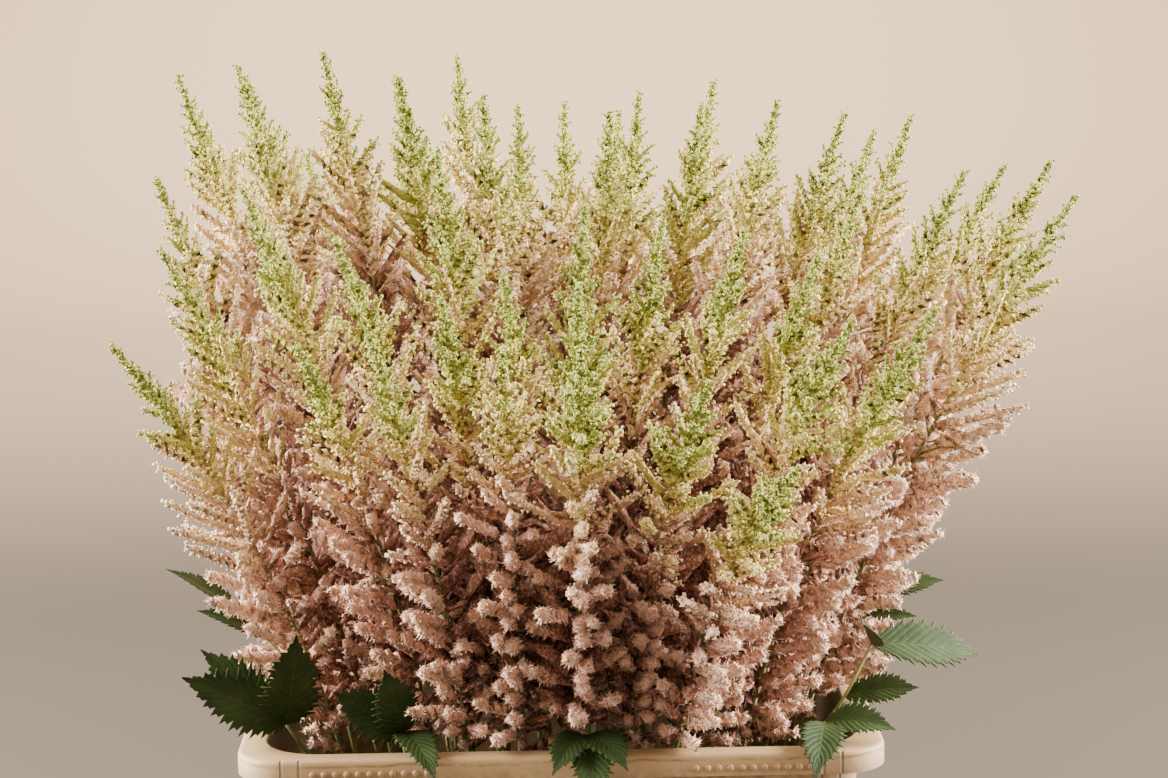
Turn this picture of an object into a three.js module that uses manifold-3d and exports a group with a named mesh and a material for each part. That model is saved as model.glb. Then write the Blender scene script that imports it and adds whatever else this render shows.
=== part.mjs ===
// A crate of astilbe: long cut stems, each topped by a feathery plume, stand in shallow water in a
// rectangular plastic flower crate. Millimetres, +Z up, +Y to the back, origin at the middle of the
// crate's underside.
//
// Each stem is one solid: a thin stalk that carries a plume, a slim core with a branch raised from
// each of its faces. Every branch keeps to its own plume's share of the space, so that no two plumes
// cross.

import * as THREE from 'three';
import { mergeVertices } from 'three/addons/utils/BufferGeometryUtils.js';
import Module from 'manifold-3d';

const wasm = await Module();
wasm.setup();

// ---------------------------------------------------------------- driving dimensions

const GAP = 0.35;                 // clearance between pieces that touch

const CRATE = {
  length: 400,                    // over the rim, along X
  depth: 300,                     // over the rim, along Y
  height: 285,
  wall: 3,
  taper: 24,                      // how far the wall leans in from rim to base, on each side
  flange: 17,                     // width of the flat rim
  lip: 14,                        // how far the rim's edge turns down
  corner: 30,                     // outer corner radius of the rim
  openingCorner: 34,
  wallCorner: 24,
  foot: 20,                       // height of the plain band at the base
};

const BEVEL = 3;                  // on the rim's edges and the foot of the crate

const WATER = {
  top: 70,                        // height of its surface
  inset: 1,                       // clearance that its faceted corners need along the wall
  jointAbove: 10,                 // the stems are straight to this height over the water
};

const STEM = {
  footRadius: 2.5,
  neckRadius: 1.6,                // below the spike
  leafJoint: 235,                 // how far up the stem its leaf grows
  longest: 60,                    // without a bend above that
  offFloor: 1,
};

const SPREAD = { x: 300, y: 230 };  // of the tips, from the middle of the crate

const PLUME = {
  spike: 92,                      // the top of the plume, where the branches are mere buds
  bud: 5,                         // branch lengths: at the very tip, at the foot of the spike,
  shortest: 18,                   // and from there down to the full length
  longest: 96,
  fullSize: 230,                  // distance below the spike where branches reach full length
  uneven: 0.36,                   // spread of their lengths
  shootAngle: 36,                 // degrees between branch and stem, top and bottom of the plume
  baseAngle: 66,
  level: 25,                      // between the rings of the core, with six branches on each level
  levelAtTip: 15,
  fullLevel: 140,                 // distance from the tip where they are this far apart
  core: 5,                        // radius of the core, low down and near the tip
  coreAtTip: 1.6,
  fullCore: 185,
  twist: 12,                      // degrees that each level is turned on from the one below
  shortestReach: 2,               // a branch with less room than this is left out
  long: 46,                       // branches from this length on swell towards their end
  girth: 6,
  swollen: 0.72,                  // where they do, as a share of their length
  clearOfRim: 8,                  // height over the rim of the lowest branch
  crowded: 150,                   // how much higher that is in the middle of the crate
};

// Tips of the plumes: [x, y, height over the rim], front row first.
const TIPS = [
  [-150, -192, 262], [-107, -212, 271], [-66, -184, 287], [-30, -244, 266], [14, -280, 272],
  [86, -262, 248], [132, -294, 204], [170, -218, 275], [212, -172, 252],
  [-190, -84, 345], [-131, -124, 316], [-30, -152, 297], [14, -196, 296], [66, -112, 322],
  [114, -146, 320], [160, -118, 300], [234, -104, 266],
  [-272, -96, 250], [-246, -52, 304], [-254, 4, 342], [-72, -46, 362], [20, -62, 326],
  [192, -62, 334], [262, -24, 342], [322, 4, 346], [328, -50, 328],
  [-244, 56, 405], [-200, 12, 413], [-147, 34, 420], [-98, 30, 403], [-44, 24, 390],
  [38, 24, 380], [98, 34, 382], [146, 12, 386], [190, 24, 376], [236, 42, 374],
  [-208, 136, 400], [-146, 98, 389], [-106, 150, 398], [-22, 92, 379], [10, 172, 377],
  [60, 106, 386], [112, 140, 391], [158, 186, 368], [222, 136, 355], [308, 108, 333],
  [-66, 226, 406], [50, 260, 364], [-176, 226, 338], [226, 218, 316],
];

// Leaves grow low on some stems. A leaf has its stem's number, the points that its stalk passes, and
// its leaflets: which of those points one grows from, its tip, its width, and the way its upper face
// looks. Heights are over the rim.
const LEAVES = {
  left_low: {
    stem: 18,
    stalk: [[-160, -76, -18], [-172, -96, 8]],
    leaflets: [
      { from: 1, tip: [-233, -124, 47], width: 37, face: [-0.1, -0.8, 0.5] },
      { from: 1, tip: [-224, -98, 58], width: 30, face: [-0.1, -0.8, 0.5] },
      { from: 1, tip: [-161, -128, 74], width: 38, face: [0.2, -1, 0.2] },
    ],
  },
  left_high: {
    stem: 20,
    stalk: [[-162, -10, 4], [-190, -20, 44], [-204, -24, 60]],
    leaflets: [
      { from: 2, tip: [-254, -22, 92], width: 24, face: [0.3, -0.15, 1] },
      { from: 1, tip: [-234, -30, 66], width: 24, face: [0.3, -0.3, 1] },
    ],
  },
  front_left: {
    stem: 1,
    stalk: [[-96, -98, -22], [-98, -112, 6]],
    leaflets: [
      { from: 1, tip: [-140, -124, 36], width: 34, face: [0, -1, 0.5] },
      { from: 1, tip: [-108, -132, 52], width: 30, face: [0.2, -1, 0.3] },
      { from: 1, tip: [-76, -172, -8], width: 24, face: [0.1, -0.4, 1], arch: 14 },
    ],
  },
  front_middle: {
    stem: 5,
    stalk: [[14, -121, -18], [16, -126, 6]],
    leaflets: [
      { from: 1, tip: [-6, -170, -6], width: 24, face: [0, -0.5, 1], arch: 13 },
      { from: 1, tip: [20, -178, -26], width: 28, face: [0, -0.6, 1], arch: 20 },
      { from: 1, tip: [40, -170, -4], width: 24, face: [0, -0.5, 1], arch: 13 },
    ],
  },
  front_right: {
    stem: 9,
    stalk: [[142, -96, -22], [164, -114, 8]],
    leaflets: [
      { from: 1, tip: [152, -176, -10], width: 28, face: [0.1, -0.4, 1], arch: 15 },
      { from: 1, tip: [206, -132, 8], width: 30, face: [0.2, -0.6, 1], arch: 8 },
    ],
  },
  right_low: {
    stem: 26,
    stalk: [[170, -50, -12], [182, -60, 10], [200, -52, 42]],
    leaflets: [
      { from: 2, tip: [272, -30, 28], width: 36, face: [0.2, -0.7, 0.8], arch: 8 },
      { from: 1, tip: [228, -72, 18], width: 25, face: [0.1, -0.7, 0.8] },
      { from: 2, tip: [190, -84, 64], width: 24, face: [-0.2, -0.8, 0.6] },
    ],
  },
  right_high: {
    stem: 25,
    stalk: [[168, 16, -8], [192, 20, 40], [208, 22, 56]],
    leaflets: [
      { from: 2, tip: [256, 20, 66], width: 26, face: [0.1, -0.5, 1] },
      { from: 1, tip: [236, 2, 46], width: 22, face: [0.1, -0.5, 1] },
    ],
  },
  back: {
    stem: 49,
    stalk: [[-100, 104, -20], [-116, 120, 6]],
    leaflets: [
      { from: 1, tip: [-164, 146, 36], width: 34, face: [-0.1, 0.8, 0.6] },
      { from: 1, tip: [-118, 176, -8], width: 28, face: [0, 0.4, 1], arch: 15 },
      { from: 1, tip: [-84, 158, 40], width: 32, face: [0.1, 0.8, 0.6] },
    ],
  },
};

const LEAF = {
  thickness: 1,
  stalkRadius: 1.3,
  leave: 9,                       // how far the stalk stands out squarely from its stem
  step: 22,                       // between the rings of the stalk
  teeth: 4,                       // pairs of teeth on a leaflet, with its tip
  toothTip: 0.98,                 // places of a tooth's tip and of the notch behind it, in teeth
  notchAt: 0.88,
  notch: 0.7,                     // half width left at a notch, as a share of the full half width
  fullest: 0.65,                  // where along a tooth its full width is taken
  arch: 0.1,                      // rise of the midrib's middle, as a share of a leaflet's length
  fold: 0.2,                      // rise of the two halves from the midrib
  widestTo: 0.7,                  // under 1 moves the widest place of a leaflet towards its root
  clear: 3.5,                     // kept free of florets round the blades
};

// Where the stems pass the rim: first a narrowed copy of the tips' spread, then evened out.
const AT_RIM = {
  x: 0.5, y: 0.43,                // the narrowing
  over: 5,                        // height over the rim where it is measured
  apart: 36,                      // distance that stems are pushed to, and how hard in each round
  push: 0.2,
  rounds: 60,
  reachX: 166, reachY: 122,       // limits of the stems: a box, and an oval that is larger by a share
  oval: 1.16,
};
const AT_FOOT = 0.76;             // the spread on the floor, as a share of that at the rim

// ---------------------------------------------------------------- solids

const frac = (value) => value - Math.floor(value);
const lerp = THREE.MathUtils.lerp;
const clamp = THREE.MathUtils.clamp;

function solidOf(geometry) {
  geometry.deleteAttribute('normal');
  geometry.deleteAttribute('uv');
  const merged = mergeVertices(geometry, 1e-3);
  const corners = merged.index.array;
  const kept = [];
  for (let k = 0; k < corners.length; k += 3) {
    const [a, b, c] = [corners[k], corners[k + 1], corners[k + 2]];
    if (a !== b && b !== c && c !== a) kept.push(a, b, c);
  }
  return new wasm.Manifold(new wasm.Mesh({
    numProp: 3,
    vertProperties: Float32Array.from(merged.attributes.position.array),
    triVerts: Uint32Array.from(kept),
  }));
}

const SMALLEST_EDGE = 0.25;       // shorter edges left by fusing are closed up

function meshOf(solid) {
  const { vertProperties, triVerts } = solid.getMesh();
  const geometry = new THREE.BufferGeometry();
  geometry.setAttribute('position', new THREE.BufferAttribute(vertProperties, 3));
  geometry.setIndex(new THREE.BufferAttribute(triVerts, 1));
  geometry.computeVertexNormals();
  return geometry;
}

// The outer skin of a fused solid, with the small hollows that fusing sealed filled. Hollows that
// touch the skin at a corner come free once its corners are merged, hence the second pass.
function skinOf(solid) {
  let skin = solid.simplify(SMALLEST_EDGE);
  for (let pass = 0; pass < 2; pass++) {
    const bodies = solidOf(meshOf(skin)).decompose();
    skin = bodies.reduce((most, body) => (body.volume() > most.volume() ? body : most));
  }
  return skin;
}

const UP = new THREE.Vector3(0, 0, 1);
const FIRST_CORNER = Math.PI / 6; // where a three-sided stem has a corner, seen along it

// A three-sided lathe profile of [radius, distance along] swept along a path instead of a straight
// axis.
function sweptLathe(profile, path, side) {
  const points = profile.map(([radius, along]) => new THREE.Vector2(radius, along));
  const geometry = new THREE.LatheGeometry(points, 3);
  const position = geometry.attributes.position;
  const rings = profile.map(([, along]) => {
    const { point, tangent } = path(along);
    const normal = side.clone().addScaledVector(tangent, -side.dot(tangent)).normalize();
    return { point, normal, binormal: tangent.clone().cross(normal) };
  });
  for (let v = 0; v < position.count; v++) {
    const { point, normal, binormal } = rings[v % profile.length];
    const out = point.clone().addScaledVector(normal, position.getX(v))
      .addScaledVector(binormal, -position.getZ(v));
    position.setXYZ(v, out.x, out.y, out.z);
  }
  return solidOf(geometry);
}

// The closed surface through loops of points, whose first and last loops are flat caps: its corners,
// and its faces row by row, each as three corners.
function loft(loops) {
  const count = loops[0].length;
  const rows = [];
  for (let row = 0; row + 1 < loops.length; row++) {
    const faces = [];
    for (let k = 0; k < count; k++) {
      const [a, b] = [row * count + k, row * count + (k + 1) % count];
      faces.push([a, b, b + count], [a, b + count, a + count]);
    }
    rows.push(faces);
  }
  const top = (loops.length - 1) * count;
  const caps = [];
  for (let k = 1; k + 1 < count; k++) caps.push([0, k + 1, k], [top, top + k, top + k + 1]);
  return { corners: loops.flat(), rows, caps };
}

function surfaceSolid(corners, faces) {
  const geometry = new THREE.BufferGeometry();
  geometry.setFromPoints(corners);
  geometry.setIndex(faces.flat());
  return solidOf(geometry);
}

function lofted(loops) {
  const { corners, rows, caps } = loft(loops);
  return surfaceSolid(corners, [...rows.flat(), ...caps]);
}

// ---------------------------------------------------------------- stems

function evenSpread() {
  const places = TIPS.map(([x, y]) => new THREE.Vector2(x * AT_RIM.x, y * AT_RIM.y));
  for (let round = 0; round < AT_RIM.rounds; round++) {
    for (let i = 0; i < places.length; i++) {
      for (let j = 0; j < i; j++) {
        const apart = places[i].clone().sub(places[j]);
        const short = AT_RIM.apart - apart.length();
        if (short <= 0) continue;
        apart.setLength(AT_RIM.push * short);
        places[i].add(apart);
        places[j].sub(apart);
      }
    }
    for (const place of places) {
      const outside = Math.hypot(place.x / AT_RIM.reachX, place.y / AT_RIM.reachY) / AT_RIM.oval;
      if (outside > 1) place.divideScalar(outside);
      place.x = clamp(place.x, -AT_RIM.reachX, AT_RIM.reachX);
      place.y = clamp(place.y, -AT_RIM.reachY, AT_RIM.reachY);
    }
  }
  return places;
}

// The line of a stem: it stands in the crate, passes the rim and leans outwards to its tip.
function stemLine([tipX, tipY, tipHeight], place) {
  const rim = new THREE.Vector3(place.x, place.y, CRATE.height + AT_RIM.over);
  const tip = new THREE.Vector3(tipX, tipY, CRATE.height + tipHeight);
  const foot = new THREE.Vector3(rim.x * AT_FOOT, rim.y * AT_FOOT, CRATE.wall + STEM.offFloor);
  const bend = rim.clone().multiplyScalar(2).addScaledVector(foot, -0.5).addScaledVector(tip, -0.5);
  return new THREE.QuadraticBezierCurve3(foot, bend, tip);
}

const LEVEL = 10;                 // stems are located in plan at heights this far apart
const FINE = 500;                 // parts of a stem in which they are looked for

const places = evenSpread();
const stems = TIPS.map((tip, number) => {
  const line = stemLine(tip, places[number]);
  const length = line.getLength();
  const top = CRATE.height + tip[2];
  const plan = [];
  for (let share = 0, height = 0; height <= top; height += LEVEL) {
    while (share < 1 && line.getPoint(share).z < height) share += 1 / FINE;
    plan.push(line.getPoint(Math.min(share, 1)));
  }
  const at = (along) => {
    const share = clamp(along / length, 0, 1);
    return { point: line.getPointAt(share), tangent: line.getTangentAt(share) };
  };
  return { number, tip, top, length, plan, at };
});

function planOf(stem, height) {
  const level = clamp(height / LEVEL, 0, stem.plan.length - 1.001);
  const below = Math.floor(level);
  const share = level - below;
  const [low, high] = [stem.plan[below], stem.plan[below + 1]];
  return { x: lerp(low.x, high.x, share), y: lerp(low.y, high.y, share) };
}

function radiusOfStem(stem, along) {
  return lerp(STEM.footRadius, STEM.neckRadius, clamp(along / (stem.length - PLUME.spike), 0, 1));
}

// Whether a ball lies in its own plume's share of the space: nearer, at its own height, to its own
// stem than to any other.
function hasRoom(stem, point, radius) {
  const own = planOf(stem, point.z);
  return stems.every((other) => {
    if (other === stem || point.z > other.top + radius + 5) return true;
    const theirs = planOf(other, point.z);
    const [apartX, apartY] = [own.x - theirs.x, own.y - theirs.y];
    const apart = Math.hypot(apartX, apartY);
    const towards = (point.x - theirs.x) * apartX + (point.y - theirs.y) * apartY;
    return towards / apart - apart / 2 > radius + 1.5 * GAP;
  });
}

function clearOfCrate({ x, y, z }, radius) {
  const margin = radius + 2;
  return Math.abs(x) > CRATE.length / 2 + margin || Math.abs(y) > CRATE.depth / 2 + margin
    || z > CRATE.height + margin;
}

// ---------------------------------------------------------------- leaves

const overRim = ([x, y, height]) => new THREE.Vector3(x, y, CRATE.height + height);

// The stalk leaves a corner of its stem squarely, a hair off its surface, and bends to its points.
function leafStalk({ stem: number, stalk }) {
  const stem = stems[number - 1];
  const { point, tangent } = stem.at(STEM.leafJoint);
  const side = new THREE.Vector3(1, 0, 0).addScaledVector(tangent, -tangent.x).normalize();
  const across = tangent.clone().cross(side);
  const towards = overRim(stalk[0]).sub(point);
  const turn = Math.atan2(towards.dot(across), towards.dot(side));
  const radius = radiusOfStem(stem, STEM.leafJoint);
  const corners = [0, 1, 2].map((k) => radius * Math.cos(turn - FIRST_CORNER - k * 2 * Math.PI / 3));
  const outward = side.multiplyScalar(Math.cos(turn)).addScaledVector(across, Math.sin(turn));
  const start = point.clone().addScaledVector(outward, Math.max(...corners) + GAP);
  const next = start.clone().addScaledVector(outward, LEAF.leave);
  return new THREE.CatmullRomCurve3([start, next, ...stalk.map(overRim)]);
}

// Half the width of a leaflet along its midrib, as a share of the widest.
const leafletShape = (along) => Math.sin(Math.PI * along ** LEAF.widestTo);

// Places a point of a leaflet: along its midrib from 0 to 1, and across it in millimetres.
function leafletPlace(leaf, leaflet) {
  const root = overRim(leaf.stalk[leaflet.from]);
  const tip = overRim(leaflet.tip);
  const length = root.distanceTo(tip);
  const forward = tip.clone().sub(root).normalize();
  const face = new THREE.Vector3(...leaflet.face);
  face.addScaledVector(forward, -face.dot(forward)).normalize();
  const side = forward.clone().cross(face);
  const middle = root.clone().lerp(tip, 0.5).addScaledVector(face, leaflet.arch ?? LEAF.arch * length);
  const midrib = new THREE.QuadraticBezierCurve3(root, middle, tip);
  return {
    face,
    at: (along, across) => midrib.getPoint(along).addScaledVector(side, across)
      .addScaledVector(face, LEAF.fold * Math.abs(across)),
  };
}

// A toothed leaflet: two halves folded up from the midrib, each a fan of teeth that point forwards.
function leafletSolid(leaf, leaflet) {
  const { face, at } = leafletPlace(leaf, leaflet);
  const count = LEAF.teeth;
  const points = [];
  const midrib = [];
  for (let k = 0; k <= count; k++) midrib.push(points.push(at(k / count, 0)) - 1);
  const upper = [];
  const rim = [];
  for (const hand of [1, -1]) {
    const width = (along) => hand * leaflet.width / 2 * leafletShape(along);
    const notches = [midrib[0]];
    const tips = [];
    for (let k = 1; k < count; k++) {
      const full = width((k - 1 + LEAF.fullest) / count);
      tips.push(points.push(at((k - 1 + LEAF.toothTip) / count, full)) - 1);
      notches.push(points.push(at((k - 1 + LEAF.notchAt) / count, width(k / count) * LEAF.notch)) - 1);
    }
    notches.push(midrib[count]);
    const edge = [];
    for (let k = 0; k < count; k++) {
      const cells = [[midrib[k], midrib[k + 1], notches[k + 1]], [midrib[k], notches[k + 1], notches[k]]];
      if (k < count - 1) cells.push([notches[k], notches[k + 1], tips[k]]);
      for (const [a, b, c] of cells) {
        if (a !== b && b !== c && c !== a) upper.push(hand > 0 ? [a, c, b] : [a, b, c]);
      }
      edge.push(notches[k]);
      if (k < count - 1) edge.push(tips[k]);
    }
    edge.push(midrib[count]);
    rim.push(hand > 0 ? edge : edge.reverse());
  }
  const border = [...rim[0], ...rim[1].slice(1, -1)];
  const under = points.length;
  const half = LEAF.thickness / 2;
  const corners = [half, -half]
    .flatMap((rise) => points.map((point) => point.clone().addScaledVector(face, rise)));
  const faces = [];
  for (const [a, b, c] of upper) faces.push([a, b, c], [under + a, under + c, under + b]);
  border.forEach((a, k) => {
    const b = border[(k + 1) % border.length];
    faces.push([b, a, under + a], [b, under + a, under + b]);
  });
  return surfaceSolid(corners, faces);
}

function leafSolid(leaf) {
  const line = leafStalk(leaf);
  const length = line.getLength();
  const path = (along) => {
    const share = clamp(along / length, 0, 1);
    return { point: line.getPointAt(share), tangent: line.getTangentAt(share) };
  };
  const profile = [[0, 0]];
  const steps = Math.round(length / LEAF.step);
  for (let k = 0; k <= steps; k++) profile.push([LEAF.stalkRadius, length * k / steps]);
  profile.push([0, length]);
  const across = line.getPoint(1).sub(line.getPoint(0)).cross(UP);
  let solid = sweptLathe(profile, path, across);
  for (const leaflet of leaf.leaflets) solid = skinOf(solid.add(leafletSolid(leaf, leaflet)));
  return solid;
}

// Points spread over the blades, which the plumes stay clear of.
const leafPoints = [];
for (const leaf of Object.values(LEAVES)) {
  leafPoints.push(...leafStalk(leaf).getSpacedPoints(12).slice(3));
  for (const leaflet of leaf.leaflets) {
    const { at } = leafletPlace(leaf, leaflet);
    for (let along = 0; along < 1.01; along += 0.1) {
      const half = leaflet.width / 2 * leafletShape(Math.min(along, 1));
      for (const across of [-1, -0.5, 0, 0.5, 1]) leafPoints.push(at(along, across * half));
    }
  }
}

function leafDistance(point) {
  let square = Infinity;
  for (const other of leafPoints) square = Math.min(square, point.distanceToSquared(other));
  return Math.sqrt(square) - LEAF.clear;
}

// ---------------------------------------------------------------- plumes

// How near a stem stands to the edge of the crate: 0 in the middle, 1 round the outside.
function edgeOf({ tip: [x, y] }) {
  return clamp(Math.hypot(x / SPREAD.x, y / SPREAD.y), 0, 1);
}

// Distances from the tip of the rings of a plume's core, from the lowest up.
function levelsOf(stem) {
  const lowest = CRATE.height + PLUME.clearOfRim + PLUME.crowded * (1 - edgeOf(stem));
  const panicle = stem.length - lowest;
  const levels = [];
  for (let fromTip = PLUME.levelAtTip; fromTip < panicle;) {
    levels.unshift(fromTip);
    fromTip += lerp(PLUME.levelAtTip, PLUME.level, Math.min(1, fromTip / PLUME.fullLevel));
  }
  return levels;
}

// Length of the branches at a distance from the tip, and their angle to the stem.
function branchAt(fromTip) {
  const below = clamp((fromTip - PLUME.spike) / PLUME.fullSize, 0, 1);
  const length = fromTip < PLUME.spike
    ? lerp(PLUME.bud, PLUME.shortest, fromTip / PLUME.spike)
    : lerp(PLUME.shortest, PLUME.longest, below);
  return { length, angle: THREE.MathUtils.degToRad(lerp(PLUME.shootAngle, PLUME.baseAngle, below)) };
}

// How far a branch grows before it would leave its plume's share of the space.
function reachOf(stem, root, heading, length) {
  const step = 2;
  let reach = 0;
  for (; reach + step < length; reach += step) {
    const next = root.clone().addScaledVector(heading, reach + step);
    const thick = PLUME.core * (1 - reach / length);
    if (!hasRoom(stem, next, 0) || !clearOfCrate(next, 0) || leafDistance(next) < thick) break;
  }
  return reach;
}

// Three points round the stem, turned by a number of thirds of a circle.
function ringRound({ point, tangent }, radius, turn) {
  const normal = new THREE.Vector3(1, 0, 0).addScaledVector(tangent, -tangent.x).normalize();
  const binormal = tangent.clone().cross(normal);
  return [0, 1, 2].map((corner) => {
    const angle = FIRST_CORNER + (corner + turn) * 2 * Math.PI / 3;
    return point.clone().addScaledVector(normal, radius * Math.cos(angle))
      .addScaledVector(binormal, radius * Math.sin(angle));
  });
}

// Raises a branch from a face of the core: a three-sided spike, which swells towards its end where it
// is long and has the room. Its share, from 0 to 1, makes it shorter or longer than its neighbours.
function raiseBranch(stem, fromTip, corners, face, share) {
  const bases = face.map((corner) => corners[corner]);
  const root = new THREE.Vector3();
  for (const base of bases) root.addScaledVector(base, 1 / 3);
  const { point, tangent } = stem.at(stem.length - fromTip);
  const { length, angle } = branchAt(fromTip);
  const outward = root.clone().sub(point);
  outward.addScaledVector(tangent, -outward.dot(tangent)).normalize();
  const heading = outward.multiplyScalar(Math.sin(angle)).addScaledVector(tangent, Math.cos(angle));
  const reach = reachOf(stem, root, heading, length * (1 + PLUME.uneven * (share - 0.5)));
  if (reach < PLUME.shortestReach) return [face];
  const tip = corners.push(root.clone().addScaledVector(heading, reach)) - 1;
  const spike = (around) => around.map((a, k) => [a, around[(k + 1) % 3], tip]);
  const belly = root.clone().addScaledVector(heading, PLUME.swollen * reach);
  const swells = reach >= PLUME.long && hasRoom(stem, belly, PLUME.girth)
    && clearOfCrate(belly, PLUME.girth) && leafDistance(belly) > PLUME.girth;
  if (!swells) return spike(face);
  const around = bases.map((base) => {
    const side = base.clone().sub(root);
    side.addScaledVector(heading, -side.dot(heading)).setLength(PLUME.girth);
    return corners.push(side.add(belly)) - 1;
  });
  const neck = face.flatMap((a, k) => {
    const next = (k + 1) % 3;
    return [[a, face[next], around[next]], [a, around[next], around[k]]];
  });
  return [...neck, ...spike(around)];
}

// A stem with its plume as one skin.
function plumeSolid(stem) {
  const levels = levelsOf(stem);
  const alongs = [0, WATER.top + WATER.jointAbove, STEM.leafJoint];
  const bare = stem.length - levels[0] - STEM.leafJoint;
  if (bare > STEM.longest) alongs.push(STEM.leafJoint + bare / 2);
  const loops = alongs.map((along) => ringRound(stem.at(along), radiusOfStem(stem, along), 0));
  const firstLevel = loops.length;
  const turn = PLUME.twist / 120 - 0.5;
  levels.forEach((fromTip, k) => {
    const core = lerp(PLUME.coreAtTip, PLUME.core, Math.min(1, fromTip / PLUME.fullCore));
    loops.push(ringRound(stem.at(stem.length - fromTip), core, turn * k));
  });
  const end = stem.at(stem.length).point;
  loops.push([end, end, end]);
  const { corners, rows, caps } = loft(loops);
  const faces = [...caps];
  rows.forEach((row, k) => {
    const level = k - firstLevel;
    if (level < 0 || level + 1 >= levels.length) {
      faces.push(...row);
      return;
    }
    row.forEach((face, n) => {
      const fromTip = lerp(levels[level], levels[level + 1], n % 2 ? 2 / 3 : 1 / 3);
      const share = frac(0.5698403 * (6 * k + n) + 0.7548777 * stem.number);
      faces.push(...raiseBranch(stem, fromTip, corners, face, share));
    });
  });
  return surfaceSolid(corners, faces);
}

// ---------------------------------------------------------------- crate and water

// The corners of a rounded rectangle, the same number whatever its size.
const CORNER_STEPS = 4;

function roundedRectangle(halfX, halfY, radius, height) {
  const points = [];
  for (let corner = 0; corner < 4; corner++) {
    const [sideX, sideY] = [[1, 1], [-1, 1], [-1, -1], [1, -1]][corner];
    for (let step = 0; step <= CORNER_STEPS; step++) {
      const angle = (corner + step / CORNER_STEPS) * Math.PI / 2;
      points.push(new THREE.Vector3(
        sideX * (halfX - radius) + radius * Math.cos(angle),
        sideY * (halfY - radius) + radius * Math.sin(angle),
        height,
      ));
    }
  }
  return points;
}

// Outside measures of the wall at a height below the rim's flange.
function wallAt(height) {
  const inward = CRATE.flange - CRATE.wall + CRATE.taper * (1 - height / CRATE.height);
  return { halfX: CRATE.length / 2 - inward, halfY: CRATE.depth / 2 - inward, corner: CRATE.wallCorner };
}

function crateSolid() {
  const { length, depth, height, wall, flange, lip, corner, openingCorner, foot } = CRATE;
  const rimRing = (inset, level, radius) => (
    roundedRectangle(length / 2 - inset, depth / 2 - inset, radius, level));
  const wallRing = (level, inside) => {
    const { halfX, halfY, corner: radius } = wallAt(level);
    return roundedRectangle(halfX - inside, halfY - inside, radius - inside, level);
  };
  return lofted([
    wallRing(0, BEVEL), wallRing(BEVEL, 0), wallRing(foot, 0),
    wallRing(height - lip, 0), wallRing(height - wall, 0),
    rimRing(wall, height - wall, corner - wall), rimRing(wall, height - lip, corner - wall),
    rimRing(0, height - lip, corner), rimRing(0, height - BEVEL, corner),
    rimRing(BEVEL, height, corner - BEVEL),
    rimRing(flange - BEVEL, height, openingCorner + BEVEL),
    rimRing(flange, height - BEVEL, openingCorner),
    wallRing(height - lip - wall, wall), wallRing(2 * wall, wall), wallRing(wall, 2 * wall),
  ]);
}

// Water round the feet of the stems, with a plain hole for each.
function waterSolid() {
  const inside = CRATE.wall + WATER.inset + GAP;
  const loop = (level, inset) => {
    const { halfX, halfY, corner } = wallAt(level);
    return roundedRectangle(halfX - inset, halfY - inset, corner - inset, level);
  };
  let water = lofted([
    loop(CRATE.wall + GAP, inside + CRATE.wall), loop(2 * CRATE.wall + GAP, inside),
    loop(WATER.top, inside),
  ]);
  const joint = WATER.top + WATER.jointAbove;
  for (const stem of stems) {
    const [foot, bend] = [stem.at(0), stem.at(joint)];
    const path = (along) => ({
      point: foot.point.clone().lerp(bend.point, along / joint),
      tangent: along > 0 ? bend.tangent : foot.tangent,
    });
    const radiusAt = (along) => radiusOfStem(stem, along) + 3 * GAP;
    const hole = sweptLathe([
      [0, -2 * CRATE.wall], [radiusAt(0), -2 * CRATE.wall], [radiusAt(joint), joint], [0, joint],
    ], path, new THREE.Vector3(1, 0, 0));
    water = water.subtract(hole);
  }
  return water.simplify(SMALLEST_EDGE);
}

// ---------------------------------------------------------------- the plant in its crate

const group = new THREE.Group();

function addNode(name, solid, color, roughness) {
  const material = new THREE.MeshStandardMaterial({ color, roughness, metalness: 0 });
  const mesh = new THREE.Mesh(meshOf(solid), material);
  mesh.name = name;
  group.add(mesh);
}

for (const stem of stems) {
  addNode(`plume_${String(stem.number + 1).padStart(2, '0')}`, plumeSolid(stem), 0xd9b39c, 0.9);
}
for (const [name, leaf] of Object.entries(LEAVES)) {
  addNode(`leaf_${name}`, leafSolid(leaf), 0x2f4a22, 0.6);
}
addNode('crate', crateSolid(), 0xd8c3a0, 0.5);
addNode('water', waterSolid(), 0x8fa3a0, 0.1);

export default group;
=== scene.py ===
"""A bunch of astilbe in a flower crate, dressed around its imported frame.

The stems, their branches and the leaves follow the same rules as the frame's solids, so each fine
piece takes the place of its solid. Lengths in the rules are millimetres; meshes are in metres.
"""

import math

import bpy
import numpy as np
from bpy.props import FloatProperty, FloatVectorProperty, PointerProperty
from mathutils import Matrix, Vector
from mathutils.kdtree import KDTree


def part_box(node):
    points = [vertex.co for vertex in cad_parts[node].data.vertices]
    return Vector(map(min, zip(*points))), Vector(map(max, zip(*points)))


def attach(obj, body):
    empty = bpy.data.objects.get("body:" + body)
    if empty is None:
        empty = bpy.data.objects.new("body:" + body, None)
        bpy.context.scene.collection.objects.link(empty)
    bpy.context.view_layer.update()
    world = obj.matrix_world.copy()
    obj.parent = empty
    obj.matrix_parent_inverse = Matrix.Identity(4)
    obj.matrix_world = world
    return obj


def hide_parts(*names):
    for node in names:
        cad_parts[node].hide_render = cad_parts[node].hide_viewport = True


bl_info = {
    "name": "Astilbe in a Crate",
    "version": (1, 0, 0),
    "blender": (4, 5, 0),
    "location": "View3D > Sidebar > Astilbe",
    "description": "Feathery astilbe plumes with leaves, standing in a plastic flower crate",
    "category": "Add Mesh",
}

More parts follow.
